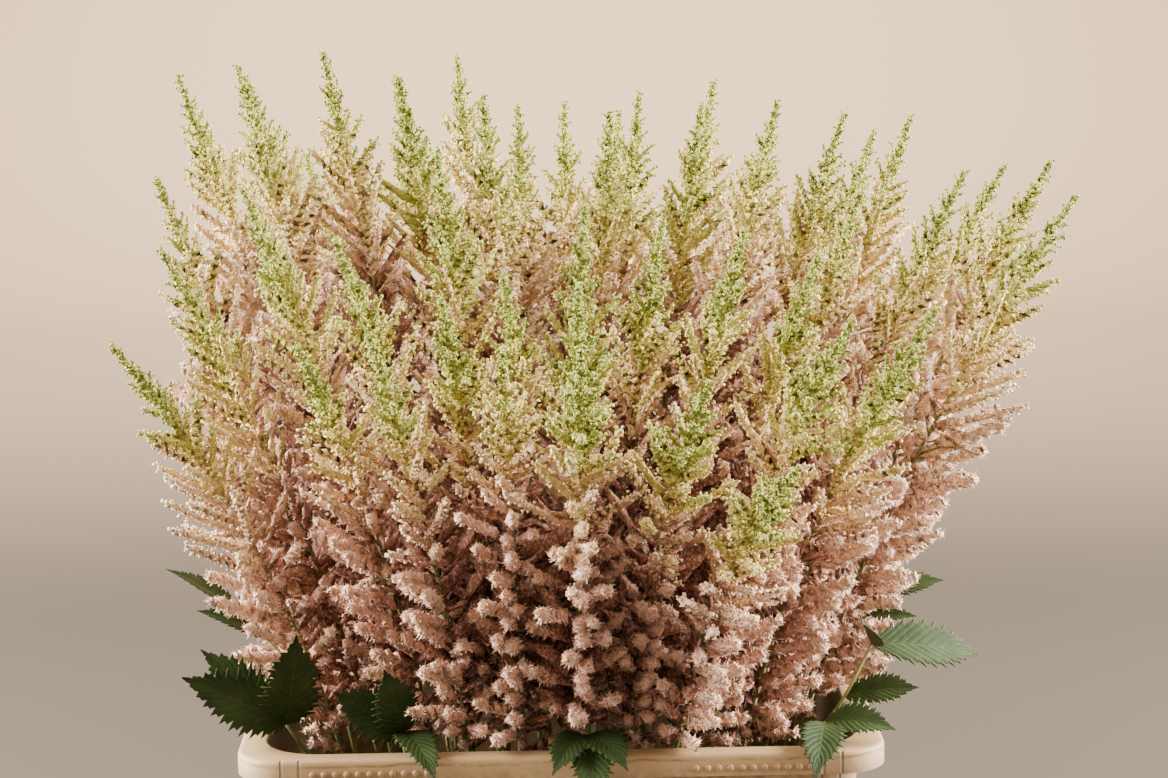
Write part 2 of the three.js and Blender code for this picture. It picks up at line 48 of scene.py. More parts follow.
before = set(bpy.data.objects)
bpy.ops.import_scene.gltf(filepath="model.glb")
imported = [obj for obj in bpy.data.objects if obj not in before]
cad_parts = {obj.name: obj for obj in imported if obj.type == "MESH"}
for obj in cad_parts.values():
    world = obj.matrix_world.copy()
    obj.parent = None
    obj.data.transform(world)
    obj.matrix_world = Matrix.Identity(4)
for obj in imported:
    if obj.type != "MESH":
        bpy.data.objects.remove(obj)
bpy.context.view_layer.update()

MM = 0.001
BODY = "root"

# ---------------------------------------------------------------- the plant's measures

CRATE_HIGH = np.array(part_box("crate")[1]) / MM     # the crate's middle is the origin
RIM_HEIGHT = CRATE_HIGH[2]
WALL = 3                         # thickness of the crate's walls
FLANGE = 17                      # width of its flat rim
LIP = 14                         # depth of the edge that is turned down round the rim
TAPER = 24                       # how far each wall leans in, from the rim to the floor
RIM_CORNER, OPENING_CORNER, WALL_CORNER = 30, 34, 24

FOOT_RADIUS, NECK_RADIUS, TIP_RADIUS = 2.5, 1.3, 0.5    # of a stem; the neck is under its spike
LEAF_JOINT = 235                 # how far along its stem a leaf leaves it

SPREAD = (300, 230)              # of the tips, from the middle of the crate
SPIKE = 92                       # top of a plume, where the branches are mere buds
BRANCH_LENGTHS = (4.5, 34, 96)   # at the tip, at the foot of the spike, and full
SLOW_START = 1.4                 # over 1, branches lengthen slowly at first below the tip
FULL_SIZE = 230                  # distance below the spike where branches reach full length
UNEVEN = 0.36                    # how much branches differ in length
WHORLS = (2.1, 4.2, 150)         # spacing at the tip, full spacing, and where it becomes full
CROWDING = (1.7, 100, 200)       # how hard branches turn outwards, from where, and fully where
STUNTED = (0.55, 140, 290)       # how much shorter outer plumes' branches are, likewise
ANGLES = (40, 66)                # degrees between branch and stem, top and bottom of the plume
ROUND_SCATTER = 0.25             # of branches round the stem, in radians
ANGLE_SCATTER = 6.5              # of their angles, in degrees
FROM_CRATE, FROM_LEAF = 5.5, 7.5     # room that a branch leaves to them
LOWEST = -12                     # height over the rim of the lowest branch
CROWDED = 60                     # how much higher that is in the middle
STUBS_FROM = 60                  # distance from the tip where stubby branches hide the stem
STUB_SPACING = (4.4, 7.5, 200)   # between them, as for the whorls
FILLED_BELOW = 14                # how far under the rim they go on

OPENS_AT = (96, 146)             # distance from the tip of a plume's first open flowers
OPENS_SOONER = 36                # how much less that is in the outermost plumes
OPENS_OVER = 116                 # length of plume over which buds turn into open flowers
FRONT_ROWS = (-40, -150)         # y of a tip where the front rows begin, and fully count
QUICKER = 0.25                   # how much shorter OPENS_OVER is there
BUDDED = (30, 70)                # buds go on this far below, and on some branches this much more
CREAM = 0.4                      # tone of a bud that opens
GREENEST = 0.6                   # share of OPENS_OVER above that, where buds are greenest

# Sizes that change down a plume: the upper one, the lower one, and the distances from the tip
# between which they change.
STUB_LENGTH = (6, 22, 20, 170)
COLUMN_GIRTH = (1.5, 3.2, 0, 60)     # of the clustered buds round the stem in its spike
COLUMN_REACH = (1.3, 3.2, 0, 60)     # of single buds there
PETAL_LENGTH = (0.6, 1, 100, 210)
FLUFF_GIRTH = (2.7, 4.3, 90, 200)

# Tips of the plumes: x, y, height over the rim, front row first.
TIPS = [
    (-150, -192, 262), (-107, -212, 271), (-66, -184, 287), (-30, -244, 266), (14, -280, 272),
    (86, -262, 248), (132, -294, 204), (170, -218, 275), (212, -172, 252),
    (-190, -84, 345), (-131, -124, 316), (-30, -152, 297), (14, -196, 296), (66, -112, 322),
    (114, -146, 320), (160, -118, 300), (234, -104, 266),
    (-272, -96, 250), (-246, -52, 304), (-254, 4, 342), (-72, -46, 362), (20, -62, 326),
    (192, -62, 334), (262, -24, 342), (322, 4, 346), (328, -50, 328),
    (-244, 56, 405), (-200, 12, 413), (-147, 34, 420), (-98, 30, 403), (-44, 24, 390),
    (38, 24, 380), (98, 34, 382), (146, 12, 386), (190, 24, 376), (236, 42, 374),
    (-208, 136, 400), (-146, 98, 389), (-106, 150, 398), (-22, 92, 379), (10, 172, 377),
    (60, 106, 386), (112, 140, 391), (158, 186, 368), (222, 136, 355), (308, 108, 333),
    (-66, 226, 406), (50, 260, 364), (-176, 226, 338), (226, 218, 316),
]

# Leaves: the stem each grows on, the points its stalk passes (heights over the rim), and its
# leaflets: the stalk's point one grows from, its tip, its width, the way its upper face looks, and
# how far its midrib is arched.
LEAVES = {
    "left_low": (18, [(-160, -76, -18), (-172, -96, 8)], [
        (1, (-233, -124, 47), 37, (-0.1, -0.8, 0.5), None),
        (1, (-224, -98, 58), 30, (-0.1, -0.8, 0.5), None),
        (1, (-161, -128, 74), 38, (0.2, -1, 0.2), None),
    ]),
    "left_high": (20, [(-162, -10, 4), (-190, -20, 44), (-204, -24, 60)], [
        (2, (-254, -22, 92), 24, (0.3, -0.15, 1), None),
        (1, (-234, -30, 66), 24, (0.3, -0.3, 1), None),
    ]),
    "front_left": (1, [(-96, -98, -22), (-98, -112, 6)], [
        (1, (-140, -124, 36), 34, (0, -1, 0.5), None),
        (1, (-108, -132, 52), 30, (0.2, -1, 0.3), None),
        (1, (-76, -172, -8), 24, (0.1, -0.4, 1), 14),
    ]),
    "front_middle": (5, [(14, -121, -18), (16, -126, 6)], [
        (1, (-6, -170, -6), 24, (0, -0.5, 1), 13),
        (1, (20, -178, -26), 28, (0, -0.6, 1), 20),
        (1, (40, -170, -4), 24, (0, -0.5, 1), 13),
    ]),
    "front_right": (9, [(142, -96, -22), (164, -114, 8)], [
        (1, (152, -176, -10), 28, (0.1, -0.4, 1), 15),
        (1, (206, -132, 8), 30, (0.2, -0.6, 1), 8),
    ]),
    "right_low": (26, [(170, -50, -12), (182, -60, 10), (200, -52, 42)], [
        (2, (272, -30, 28), 36, (0.2, -0.7, 0.8), 8),
        (1, (228, -72, 18), 25, (0.1, -0.7, 0.8), None),
        (2, (190, -84, 64), 24, (-0.2, -0.8, 0.6), None),
    ]),
    "right_high": (25, [(168, 16, -8), (192, 20, 40), (208, 22, 56)], [
        (2, (256, 20, 66), 26, (0.1, -0.5, 1), None),
        (1, (236, 2, 46), 22, (0.1, -0.5, 1), None),
    ]),
    "back": (49, [(-100, 104, -20), (-116, 120, 6)], [
        (1, (-164, 146, 36), 34, (-0.1, 0.8, 0.6), None),
        (1, (-118, 176, -8), 28, (0, 0.4, 1), 15),
        (1, (-84, 158, 40), 32, (0.1, 0.8, 0.6), None),
    ]),
}
LEAF_STALK_RADIUS = 1.3
VEIN_SLANT = 2.6                 # how many veins further the tip a vein ends than it starts

# Where the stems pass the rim: a narrowed copy of the tips' spread, then evened out.
AT_RIM = (0.5, 0.43)             # the tips' spread is narrowed by these
OVER_RIM = 5                     # height over the rim at which that holds
APART = 36                       # between two stems there
PUSH, ROUNDS = 0.2, 60           # share of a shortfall made good each time, and how many times
REACH, OVAL = (166, 122), 1.16   # the room for the stems, and how far it bulges past an oval
AT_FOOT = 0.76                   # the spread at the feet, as a share of that at the rim

# ---------------------------------------------------------------- small helpers


def lerp(start, end, share):
    """A value that share of the way from start to end."""
    return start + (end - start) * share


def clamp(value, low, high):
    return max(low, min(high, value))


def smooth(low, high, value):
    """0 below low, 1 above high, and a smooth rise between them, for numbers or arrays."""
    share = np.clip((value - low) / (high - low), 0, 1)
    return share * share * (3 - 2 * share)


def graded(first, last, low, high, value):
    """A size that is first below low, last above high, and changes smoothly between them."""
    return lerp(first, last, smooth(low, high, value))


def unit(vectors):
    """Vectors made one long."""
    return vectors / np.linalg.norm(vectors, axis=-1, keepdims=True)


def mesh_piece(name, points, faces, material, smooth_shaded=False):
    """An object made of points in millimetres and faces."""
    mesh = bpy.data.meshes.new(name)
    mesh.from_pydata([tuple(point) for point in np.asarray(points) * MM], [], faces)
    mesh.validate()
    mesh.polygons.foreach_set("use_smooth", [smooth_shaded] * len(mesh.polygons))
    mesh.materials.append(material)
    piece = bpy.data.objects.new(name, mesh)
    bpy.context.scene.collection.objects.link(piece)
    return piece


def finished(piece):
    """Turns a piece with modifiers into a plain mesh."""
    graph = bpy.context.evaluated_depsgraph_get()
    mesh = bpy.data.meshes.new_from_object(piece.evaluated_get(graph))
    piece.modifiers.clear()
    piece.data = mesh
    return piece


def settle(piece, node):
    """Hands a finished piece to the frame: it rides on the one body and stands for a node."""
    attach(piece, BODY)
    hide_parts(node)


# ---------------------------------------------------------------- node trees


class Socket:
    """An output of a node, which can be used in Python's arithmetic."""

    def __init__(self, tree, socket):
        self.tree = tree
        self.socket = socket

    def _math(self, operation, first, second):
        return self.tree.node("ShaderNodeMath", {"operation": operation}, {0: first, 1: second})

    def __add__(self, other):
        return self._math("ADD", self, other)

    def __radd__(self, other):
        return self._math("ADD", other, self)

    def __sub__(self, other):
        return self._math("SUBTRACT", self, other)

    def __rsub__(self, other):
        return self._math("SUBTRACT", other, self)

    def __mul__(self, other):
        return self._math("MULTIPLY", self, other)

    def __rmul__(self, other):
        return self._math("MULTIPLY", other, self)


class Tree:
    """Makes the nodes of a material or of a Geometry Nodes tree."""

    def __init__(self, nodes):
        self.nodes = nodes

    def node(self, kind, settings=None, inputs=None, output=0):
        """A node of a kind, with its settings, such as a ramp's stops, and the values or links of
        its inputs, by name or number. Returns one output, or several where output is a tuple."""
        made = self.nodes.nodes.new(kind)
        for name, value in (settings or {}).items():
            if name == "stops":
                self.set_stops(made.color_ramp.elements, value)
            else:
                setattr(made, name, value)
        for key, value in (inputs or {}).items():
            self.feed(made.inputs[key], value)
        if isinstance(output, tuple):
            return [Socket(self, made.outputs[key]) for key in output]
        return Socket(self, made.outputs[output])

    @staticmethod
    def set_stops(elements, stops):
        while len(elements) < len(stops):
            elements.new(1)
        for element, (place, color) in zip(elements, stops):
            element.position = place
            element.color = (*color, 1)

    def feed(self, target, value):
        """Links a socket, or several, to an input, or sets the input's value."""
        if isinstance(value, Socket):
            self.nodes.links.new(value.socket, target)
        elif isinstance(value, list):
            for one in value:
                self.nodes.links.new(one.socket, target)
        else:
            target.default_value = value


class ShaderTree(Tree):
    """A material's nodes."""

    def __init__(self, name):
        self.material = bpy.data.materials.new(name)
        self.material.use_nodes = True
        super().__init__(self.material.node_tree)
        self.shader = self.nodes.nodes["Principled BSDF"]
        self.place = self.node("ShaderNodeTexCoord", output="Object")

    def attribute(self, name):
        return self.node("ShaderNodeAttribute", {"attribute_name": name}, output="Fac")

    def noise(self, size, detail):
        """Noise whose blotches are about size metres wide, spread around 0.5."""
        return self.node("ShaderNodeTexNoise", inputs={
            "Vector": self.place, "Scale": 1 / size, "Detail": detail, "Roughness": 0.5})

    def grains(self, size, rim, middle):
        """Round grains about size metres wide: 0 at the rim of each, 1 in its middle."""
        cells = self.node("ShaderNodeTexVoronoi", {"feature": "F1"}, {
            "Vector": self.place, "Scale": 1 / size}, output="Distance")
        return self.between(cells, rim, middle)

    def absolute(self, value):
        return self.node("ShaderNodeMath", {"operation": "ABSOLUTE"}, {0: value})

    def axis(self, number):
        return self.node("ShaderNodeSeparateXYZ", inputs={0: self.place}, output=number)

    def ramp(self, value, stops):
        """A colour ramp: stops are (place, colour)."""
        return self.node("ShaderNodeValToRGB", {"stops": stops}, {0: value})

    def mix(self, share, first, second):
        """Mixes two colours."""
        first, second = ((*color, 1) if isinstance(color, tuple) else color
                         for color in (first, second))
        return self.node("ShaderNodeMix", {"data_type": "RGBA"}, {
            0: share, 6: first, 7: second}, output=2)

    def between(self, value, low, high):
        """0 where value is under low, 1 where it is over high."""
        return self.node("ShaderNodeMapRange", {"interpolation_type": "SMOOTHSTEP"}, {
            "Value": value, "From Min": low, "From Max": high})

    def finish(self, color, roughness, height=None, distance=0.001, **constants):
        """Feeds the shader and returns the material."""
        self.feed(self.shader.inputs["Base Color"], color)
        self.feed(self.shader.inputs["Roughness"], roughness)
        if height is not None:
            bump = self.node("ShaderNodeBump", inputs={
                "Height": height, "Distance": distance, "Strength": 1.0})
            self.feed(self.shader.inputs["Normal"], bump)
        for name, value in constants.items():
            self.shader.inputs[name.replace("_", " ")].default_value = value
        return self.material


class GeometryTree(Tree):
    """A Geometry Nodes tree with named inputs."""

    def __init__(self, name, inputs):
        group = bpy.data.node_groups.new(name, "GeometryNodeTree")
        super().__init__(group)
        group.interface.new_socket("Geometry", in_out="INPUT", socket_type="NodeSocketGeometry")
        for title, (kind, value) in inputs.items():
            socket = group.interface.new_socket(title, in_out="INPUT", socket_type=kind)
            if value is not None:
                socket.default_value = value
        group.interface.new_socket("Geometry", in_out="OUTPUT", socket_type="NodeSocketGeometry")
        self.inputs = self.nodes.nodes.new("NodeGroupInput")
        self.output = self.nodes.nodes.new("NodeGroupOutput")

    def given(self, title):
        """What a named input holds."""
        return Socket(self, self.inputs.outputs[title])

    def attribute(self, name, kind="FLOAT"):
        return self.node("GeometryNodeInputNamedAttribute", {"data_type": kind}, {"Name": name})

    def store(self, geometry, name, value, kind="FLOAT"):
        """Geometry with a value kept under a name."""
        return self.node("GeometryNodeStoreNamedAttribute", {"data_type": kind}, {
            "Geometry": geometry, "Name": name, "Value": value})

    def random(self, low, high):
        """A random number for each element."""
        return self.node("FunctionNodeRandomValue", {"data_type": "FLOAT"}, {
            2: low, 3: high, "Seed": self.given("Seed")}, output=1)

    def random_vector(self, spread):
        return self.node("FunctionNodeRandomValue", {"data_type": "FLOAT_VECTOR"}, {
            0: (-spread,) * 3, 1: (spread,) * 3, "Seed": self.given("Seed")})

    def vector(self, operation, first, second):
        return self.node("ShaderNodeVectorMath", {"operation": operation}, {0: first, 1: second})

    def scaled(self, vector, scale):
        return self.node("ShaderNodeVectorMath", {"operation": "SCALE"}, {
            0: vector, "Scale": scale})

    def dress(self, geometry, material, smooth_shaded=True):
        """Gives geometry the material of a named input, and shades it softly."""
        if smooth_shaded:
            geometry = self.node("GeometryNodeSetShadeSmooth", inputs={"Geometry": geometry})
        return self.node("GeometryNodeSetMaterial", inputs={
            "Geometry": geometry, "Material": self.given(material)})

    def copies(self, points, shape, **placing):
        """A copy of a shape on every point."""
        made = self.node("GeometryNodeInstanceOnPoints", inputs={
            "Points": points, "Instance": shape, **placing})
        return self.node("GeometryNodeRealizeInstances", inputs={"Geometry": made})

    def close(self, geometry):
        """Ends the tree with a geometry, and returns it."""
        self.feed(self.output.inputs[0], geometry)
        return self.nodes

    @staticmethod
    def apply(group, piece, values):
        """Runs a tree on a piece with values for its named inputs, and makes the result plain."""
        modifier = piece.modifiers.new(group.name, "NODES")
        modifier.node_group = group
        for item in group.interface.items_tree:
            if item.item_type == "SOCKET" and item.in_out == "INPUT" and item.name in values:
                modifier[item.identifier] = values[item.name]
        return finished(piece)


# ---------------------------------------------------------------- stems


def even_spread():
    """Where the stems pass the rim, as complex numbers."""
    places = [complex(x * AT_RIM[0], y * AT_RIM[1]) for x, y, _ in TIPS]
    for _ in range(ROUNDS):
        for i in range(len(places)):
            for j in range(i):
                apart = places[i] - places[j]
                short = APART - abs(apart)
                if short > 0:
                    push = apart / abs(apart) * PUSH * short
                    places[i] += push
                    places[j] -= push
        for i, place in enumerate(places):
            outside = math.hypot(place.real / REACH[0], place.imag / REACH[1]) / OVAL
            if outside > 1:
                place /= outside
            places[i] = complex(clamp(place.real, -REACH[0], REACH[0]),
                                clamp(place.imag, -REACH[1], REACH[1]))
    return places


class Stem:
    """The line of one stem."""

    def __init__(self, number, tip, place):
        rim = np.array([place.real, place.imag, RIM_HEIGHT + OVER_RIM])
        top = np.array([tip[0], tip[1], RIM_HEIGHT + tip[2]])
        foot = np.array([rim[0] * AT_FOOT, rim[1] * AT_FOOT, WALL + 1])
        bend = 2 * rim - (foot + top) / 2
        share = np.linspace(0, 1, 201)[:, None]
        self.points = (1 - share) ** 2 * foot + 2 * share * (1 - share) * bend + share**2 * top
        self.along = np.concatenate([
            [0], np.cumsum(np.linalg.norm(np.diff(self.points, axis=0), axis=1))])
        self.tangents = unit(np.gradient(self.points, self.along, axis=0))
        self.length = self.along[-1]
        self.number = number
        self.tip = top
        self.edge = clamp(math.hypot(tip[0] / SPREAD[0], tip[1] / SPREAD[1]), 0, 1)

    def at(self, along):
        """Points and tangents at distances along the stem."""
        point = [np.interp(along, self.along, self.points[:, axis]) for axis in range(3)]
        tangent = [np.interp(along, self.along, self.tangents[:, axis]) for axis in range(3)]
        return np.stack(point, -1), unit(np.stack(tangent, -1))

    def lowest_branch(self):
        """Height of the plume's foot."""
        return RIM_HEIGHT + LOWEST + CROWDED * (1 - self.edge)


STEMS = [Stem(n, tip, place) for n, (tip, place) in enumerate(zip(TIPS, even_spread()))]

# Where each stem is at heights LEVEL apart.
LEVEL = 5
LEVELS = np.arange(0, RIM_HEIGHT + 440, LEVEL)
PLAN = np.array([[np.interp(LEVELS, stem.points[:, 2], stem.points[:, axis]) for axis in (0, 1)]
                 for stem in STEMS]).transpose(0, 2, 1)
TOPS = np.array([stem.tip[2] for stem in STEMS])


def room(stem, points):
    """How far each point lies inside its plume's share of the space. That share is what lies
    nearer, at its height, to its own stem than to any other."""
    level = np.clip(points[:, 2] / LEVEL, 0, len(LEVELS) - 1.001)
    below = level.astype(int)
    share = (level - below)[None, :, None]
    plan = PLAN[:, below] * (1 - share) + PLAN[:, below + 1] * share
    apart = plan[stem.number] - plan
    distance = np.linalg.norm(apart, axis=2)
    distance[stem.number] = 1
    inside = ((points[:, :2] - plan) * apart).sum(2) / distance - distance / 2
    inside[stem.number] = np.inf
    inside[points[:, 2] > TOPS[:, None] + 5] = np.inf
    return inside.min(0)


def clear_of_crate(points, margin):
    """Whether points are over the rim, outside the crate or well within its opening."""
    beyond = np.abs(points[:, :2]) - CRATE_HIGH[:2]
    return ((beyond > margin).any(1) | (points[:, 2] > RIM_HEIGHT + margin)
            | (beyond < -FLANGE - TAPER / 2 - margin).all(1))


# ---------------------------------------------------------------- leaves

UP = np.array([0, 0, 1.0])
LEAVE = 9                        # how far a leaf's stalk stands out squarely from its stem


def over_rim(point):
    """A point whose height was given over the rim."""
    return np.array([point[0], point[1], RIM_HEIGHT + point[2]], float)


def frame_round(tangent):
    """Two directions square to a tangent, the first one near the X axis."""
    normal = unit(np.array([1.0, 0, 0]) - tangent * tangent[..., :1])
    return normal, np.cross(tangent, normal)


def around(tangent, turn):
    """Directions square to tangents, turned round them from the X axis by angles."""
    normal, binormal = frame_round(tangent)
    turn = np.asarray(turn)[..., None]
    return normal * np.cos(turn) + binormal * np.sin(turn)


def spline(points, count):
    """Points spaced evenly along a smooth line through a few, a centripetal Catmull-Rom spline."""
    points = [np.asarray(point, float) for point in points]
    points = [2 * points[0] - points[1], *points, 2 * points[-1] - points[-2]]
    line = []
    for p0, p1, p2, p3 in zip(points, points[1:], points[2:], points[3:]):
        t1 = math.sqrt(np.linalg.norm(p1 - p0))
        t2 = t1 + math.sqrt(np.linalg.norm(p2 - p1))
        t3 = t2 + math.sqrt(np.linalg.norm(p3 - p2))
        t = np.linspace(t1, t2, 24)[:, None]
        a1 = ((t1 - t) * p0 + t * p1) / t1
        a2 = ((t2 - t) * p1 + (t - t1) * p2) / (t2 - t1)
        a3 = ((t3 - t) * p2 + (t - t2) * p3) / (t3 - t2)
        b1 = ((t2 - t) * a1 + t * a2) / t2
        b2 = ((t3 - t) * a2 + (t - t1) * a3) / (t3 - t1)
        line.extend(((t2 - t) * b1 + (t - t1) * b2) / (t2 - t1))
    line = np.array(line)
    along = np.concatenate([[0], np.cumsum(np.linalg.norm(np.diff(line, axis=0), axis=1))])
    places = np.linspace(0, along[-1], count)
    return np.stack([np.interp(places, along, line[:, axis]) for axis in range(3)], -1)


def leaf_stalk(leaf, count):
    """The line of a leaf's stalk, from its stem to its last leaflet."""
    number, stalk, _ = leaf
    point, tangent = STEMS[number - 1].at(LEAF_JOINT)
    side, across = frame_round(tangent)
    towards = over_rim(stalk[0]) - point
    turn = math.atan2(towards @ across, towards @ side)
    outward = side * math.cos(turn) + across * math.sin(turn)
    start = point + outward * (FOOT_RADIUS - 0.6)
    return spline([start, start + outward * LEAVE, *map(over_rim, stalk)], count)


class Leaflet:
    """The surface of one leaflet: a midrib arched towards its upper face, and two halves folded up
    from it."""

    WIDEST_TO = 0.7
    FOLD = 0.2
    DRAWN_OUT = 0.35             # how much narrower the tip is

    def __init__(self, leaf, leaflet):
        start, tip, self.width, face, arch = leaflet
        self.root = over_rim(leaf[1][start])
        self.tip = over_rim(tip)
        self.length = np.linalg.norm(self.tip - self.root)
        forward = (self.tip - self.root) / self.length
        face = np.array(face, float)
        self.face = unit(face - forward * (face @ forward))
        self.side = np.cross(forward, self.face)
        self.middle = ((self.root + self.tip) / 2
                       + self.face * (0.1 * self.length if arch is None else arch))

    def half_width(self, along):
        along = np.clip(along, 0, 1)
        return (self.width / 2 * np.sin(math.pi * along ** self.WIDEST_TO)
                * (1 - self.DRAWN_OUT * smooth(0.72, 0.95, along)))

    def at(self, along, across, rise=0):
        """Points at a share of the midrib and millimetres across it."""
        along = np.asarray(along, float)[..., None]
        across = np.asarray(across, float)[..., None]
        line = ((1 - along) ** 2 * self.root + 2 * along * (1 - along) * self.middle
                + along**2 * self.tip)
        rise = np.asarray(rise, float)[..., None] + self.FOLD * np.abs(across)
        return line + self.side * across + self.face * rise


def leaf_tree():
    """Places on the leaves that the florets keep clear of."""
    points = []
    for leaf in LEAVES.values():
        points.extend(leaf_stalk(leaf, 13)[3:])
        for shape in (Leaflet(leaf, leaflet) for leaflet in leaf[2]):
            along = np.linspace(0, 1, 11)
            for share in (-1, -0.5, 0, 0.5, 1):
                points.extend(shape.at(along, share * shape.half_width(along)))
    tree = KDTree(len(points))
    for k, point in enumerate(points):
        tree.insert(point, k)
    tree.balance()
    return tree


# ---------------------------------------------------------------- plumes: their branches

GOLDEN = math.pi * (3 - math.sqrt(5))
STEP = 2                         # along a branch, when its room is measured
MINGLE = 7                       # how far the florets of two plumes reach into each other
BOW = 0.12                       # how far a branch bends up to the stem, as a share of its length
CLUMP = 5.8                      # between the clumps of buds on a branch
COLUMN = 100                     # length of the column of such clumps round the stem
COLUMN_BUDS = (62, 74, 1.3)      # length of it that has single buds, their number and size
BUD_SPACING, SPARSE = 1.72, 3.4  # between buds in the light, and in the dark
BUD_SIZES = (0.92, 1.2)          # at the tip, and at the foot of the spike and below
DARK, SEEN = 0.16, 0.2           # light under which a stub is bare, and over which buds are close
FLUFF = 44                       # length of the open flowers at the end of a long branch
PETALLED = (36, 22)              # length of them with petals, in the light and half hidden
LUMP = 8.5                       # between the swellings of open flowers
ON_SIDES = 0.22                  # petals on the sides of a branch for each one at its end
END = (16, 9)                    # distance from its tip where that end begins, and fully counts
HIDDEN, OPEN = 0.1, 0.36         # light at a branch's end where petals begin, and where all grow
CELL = 8                         # edge of the cubes by which light is measured
WAYS = 40                        # directions in which it is measured
SIGHT = (2, 16)                  # how near and how far, in cubes

STALK, CORE, FLUFFY, TWIG, BUD = range(5)
SIDES = {STALK: 5, CORE: 3, FLUFFY: 4, TWIG: 4}


class Skeleton:
    """The lines and points that a plume grows on."""

    def __init__(self):
        self.points = []
        self.edges = []
        self.values = {name: [] for name in (
            "kind", "girth", "petal", "tone", "reach", "light", "fringe", "twist")}
        self.count = 0

    def _add(self, points, **values):
        self.points.append(points)
        for name, value in values.items():
            self.values[name].append(np.broadcast_to(np.asarray(value, float), len(points)))
        self.count += len(points)

    def line(self, points, petal=0, fringe=0, **values):
        """Adds a line that a body grows round."""
        numbers = np.arange(self.count, self.count + len(points))
        self.edges.append(np.stack([numbers[:-1], numbers[1:]], -1))
        self._add(points, petal=petal, fringe=fringe, twist=np.arange(len(points)) * GOLDEN,
                  **values)

    def dots(self, points, **values):
        """Adds single points for buds."""
        self._add(points, petal=0, fringe=0, twist=0, **values)

    def piece(self, name):
        """An object with the lines as edges."""
        mesh = bpy.data.meshes.new(name)
        points = np.concatenate(self.points) * MM
        edges = np.concatenate(self.edges)
        mesh.vertices.add(len(points))
        mesh.vertices.foreach_set("co", points.ravel())
        mesh.edges.add(len(edges))
        mesh.edges.foreach_set("vertices", edges.ravel())
        for key, parts in self.values.items():
            attribute = mesh.attributes.new(key, "FLOAT", "POINT")
            attribute.data.foreach_set("value", np.concatenate(parts).astype(np.float32))
        made = bpy.data.objects.new(name, mesh)
        bpy.context.scene.collection.objects.link(made)
        return made


def spaced(start, end, spacing):
    """Distances from the tip, from start to just past end, that lie wider apart lower down."""
    top, full, full_from = spacing
    places = [start]
    while places[-1] < end:
        places.append(places[-1] + lerp(top, full, min(1, places[-1] / full_from)))
    return np.array(places)


def outward_ways(stem, from_tip, rng):
    """The way each branch takes from the stem, seen along it. Low down, branches turn to the
    outside of the bunch, where there is room and light."""
    count = len(from_tip)
    point, tangent = stem.at(stem.length - from_tip)
    normal, binormal = frame_round(tangent)
    azimuth = np.arange(count) * GOLDEN + rng.uniform(0, math.tau)
    azimuth += rng.normal(0, ROUND_SCATTER, count)
    light = np.array([point[:, 0] / SPREAD[0], point[:, 1] / SPREAD[1], np.zeros(count)]).T
    sunny = np.arctan2((light * binormal).sum(1), (light * normal).sum(1))
    turn = (azimuth - sunny + math.pi) % math.tau - math.pi
    crowding = 1 + CROWDING[0] * stem.edge * smooth(*CROWDING[1:], from_tip)
    return around(tangent, sunny + np.sign(turn) * math.pi * (
        np.abs(turn) / math.pi) ** crowding)


def branch_lengths(stem, from_tip, below, rng):
    """Lengths of the branches, short in the spike and full low down."""
    bud, shortest, longest = BRANCH_LENGTHS
    length = np.where(from_tip < SPIKE, lerp(bud, shortest, (from_tip / SPIKE) ** SLOW_START),
                      lerp(shortest, longest, below))
    length = length * (1 + UNEVEN * (rng.random(len(from_tip)) - 0.5))
    return length * (1 - STUNTED[0] * stem.edge * smooth(*STUNTED[1:], from_tip))


def grow(stem, leaves):
    """The branches of a plume, from the tip down, as dicts: the points every STEP along each one,
    its distance from the tip, how far it grows, and its share of openness."""
    rng = np.random.default_rng(stem.number + 11)
    from_tip = spaced(2.0, stem.length - stem.lowest_branch(), WHORLS)[:-1]
    below = np.clip((from_tip - SPIKE) / FULL_SIZE, 0, 1)
    point, tangent = stem.at(stem.length - from_tip)
    outward = outward_ways(stem, from_tip, rng)
    length = branch_lengths(stem, from_tip, below, rng)
    angle = lerp(*ANGLES, below) + rng.normal(0, ANGLE_SCATTER, len(from_tip))
    angle = np.radians(angle)[:, None]
    heading = outward * np.sin(angle) + tangent * np.cos(angle)
    steps = np.arange(1, int(length.max() / STEP) + 2) * STEP
    bow = BOW * (steps[None] ** 2 / length[:, None])[..., None] * tangent[:, None]
    paths = point[:, None] + heading[:, None] * steps[None, :, None] + bow
    flat = paths.reshape(-1, 3)
    free = (room(stem, flat) > -MINGLE) & clear_of_crate(flat, FROM_CRATE)
    free = free.reshape(paths.shape[:2]) & (steps[None] <= length[:, None])
    branches = []
    for k in range(len(from_tip)):
        reach = int(np.argmin(free[k])) if not free[k].all() else len(steps)
        for i in range(3, reach):
            _, _, distance = leaves.find(paths[k, i])
            if distance < FROM_LEAF:
                reach = i
                break
        if reach * STEP < 3:
            continue
        branches.append({
            "path": np.concatenate([point[k:k + 1], paths[k, :reach]]),
            "from_tip": from_tip[k], "reach": reach * STEP, "share": rng.random(),
            "short": False,
        })
    return branches + short_branches(stem, rng)


def short_branches(stem, rng):
    """Short stubby branches all round the stem, which hide it."""
    from_tip = spaced(STUBS_FROM, stem.length - RIM_HEIGHT + FILLED_BELOW, STUB_SPACING)
    point, tangent = stem.at(stem.length - from_tip)
    turn = np.arange(len(from_tip)) * GOLDEN + rng.uniform(0, math.tau)
    heading = around(tangent, turn) * 0.85 + tangent * 0.5
    branches = []
    for k, distance in enumerate(from_tip):
        steps = np.arange(round(graded(*STUB_LENGTH, distance) / STEP) + 1) * STEP
        path = point[k] + heading[k] * steps[:, None]
        if (clear_of_crate(path, 4) & (room(stem, path) > -MINGLE)).all():
            branches.append({"path": path, "from_tip": distance, "reach": steps[-1],
                             "share": rng.random(), "short": True})
    return branches


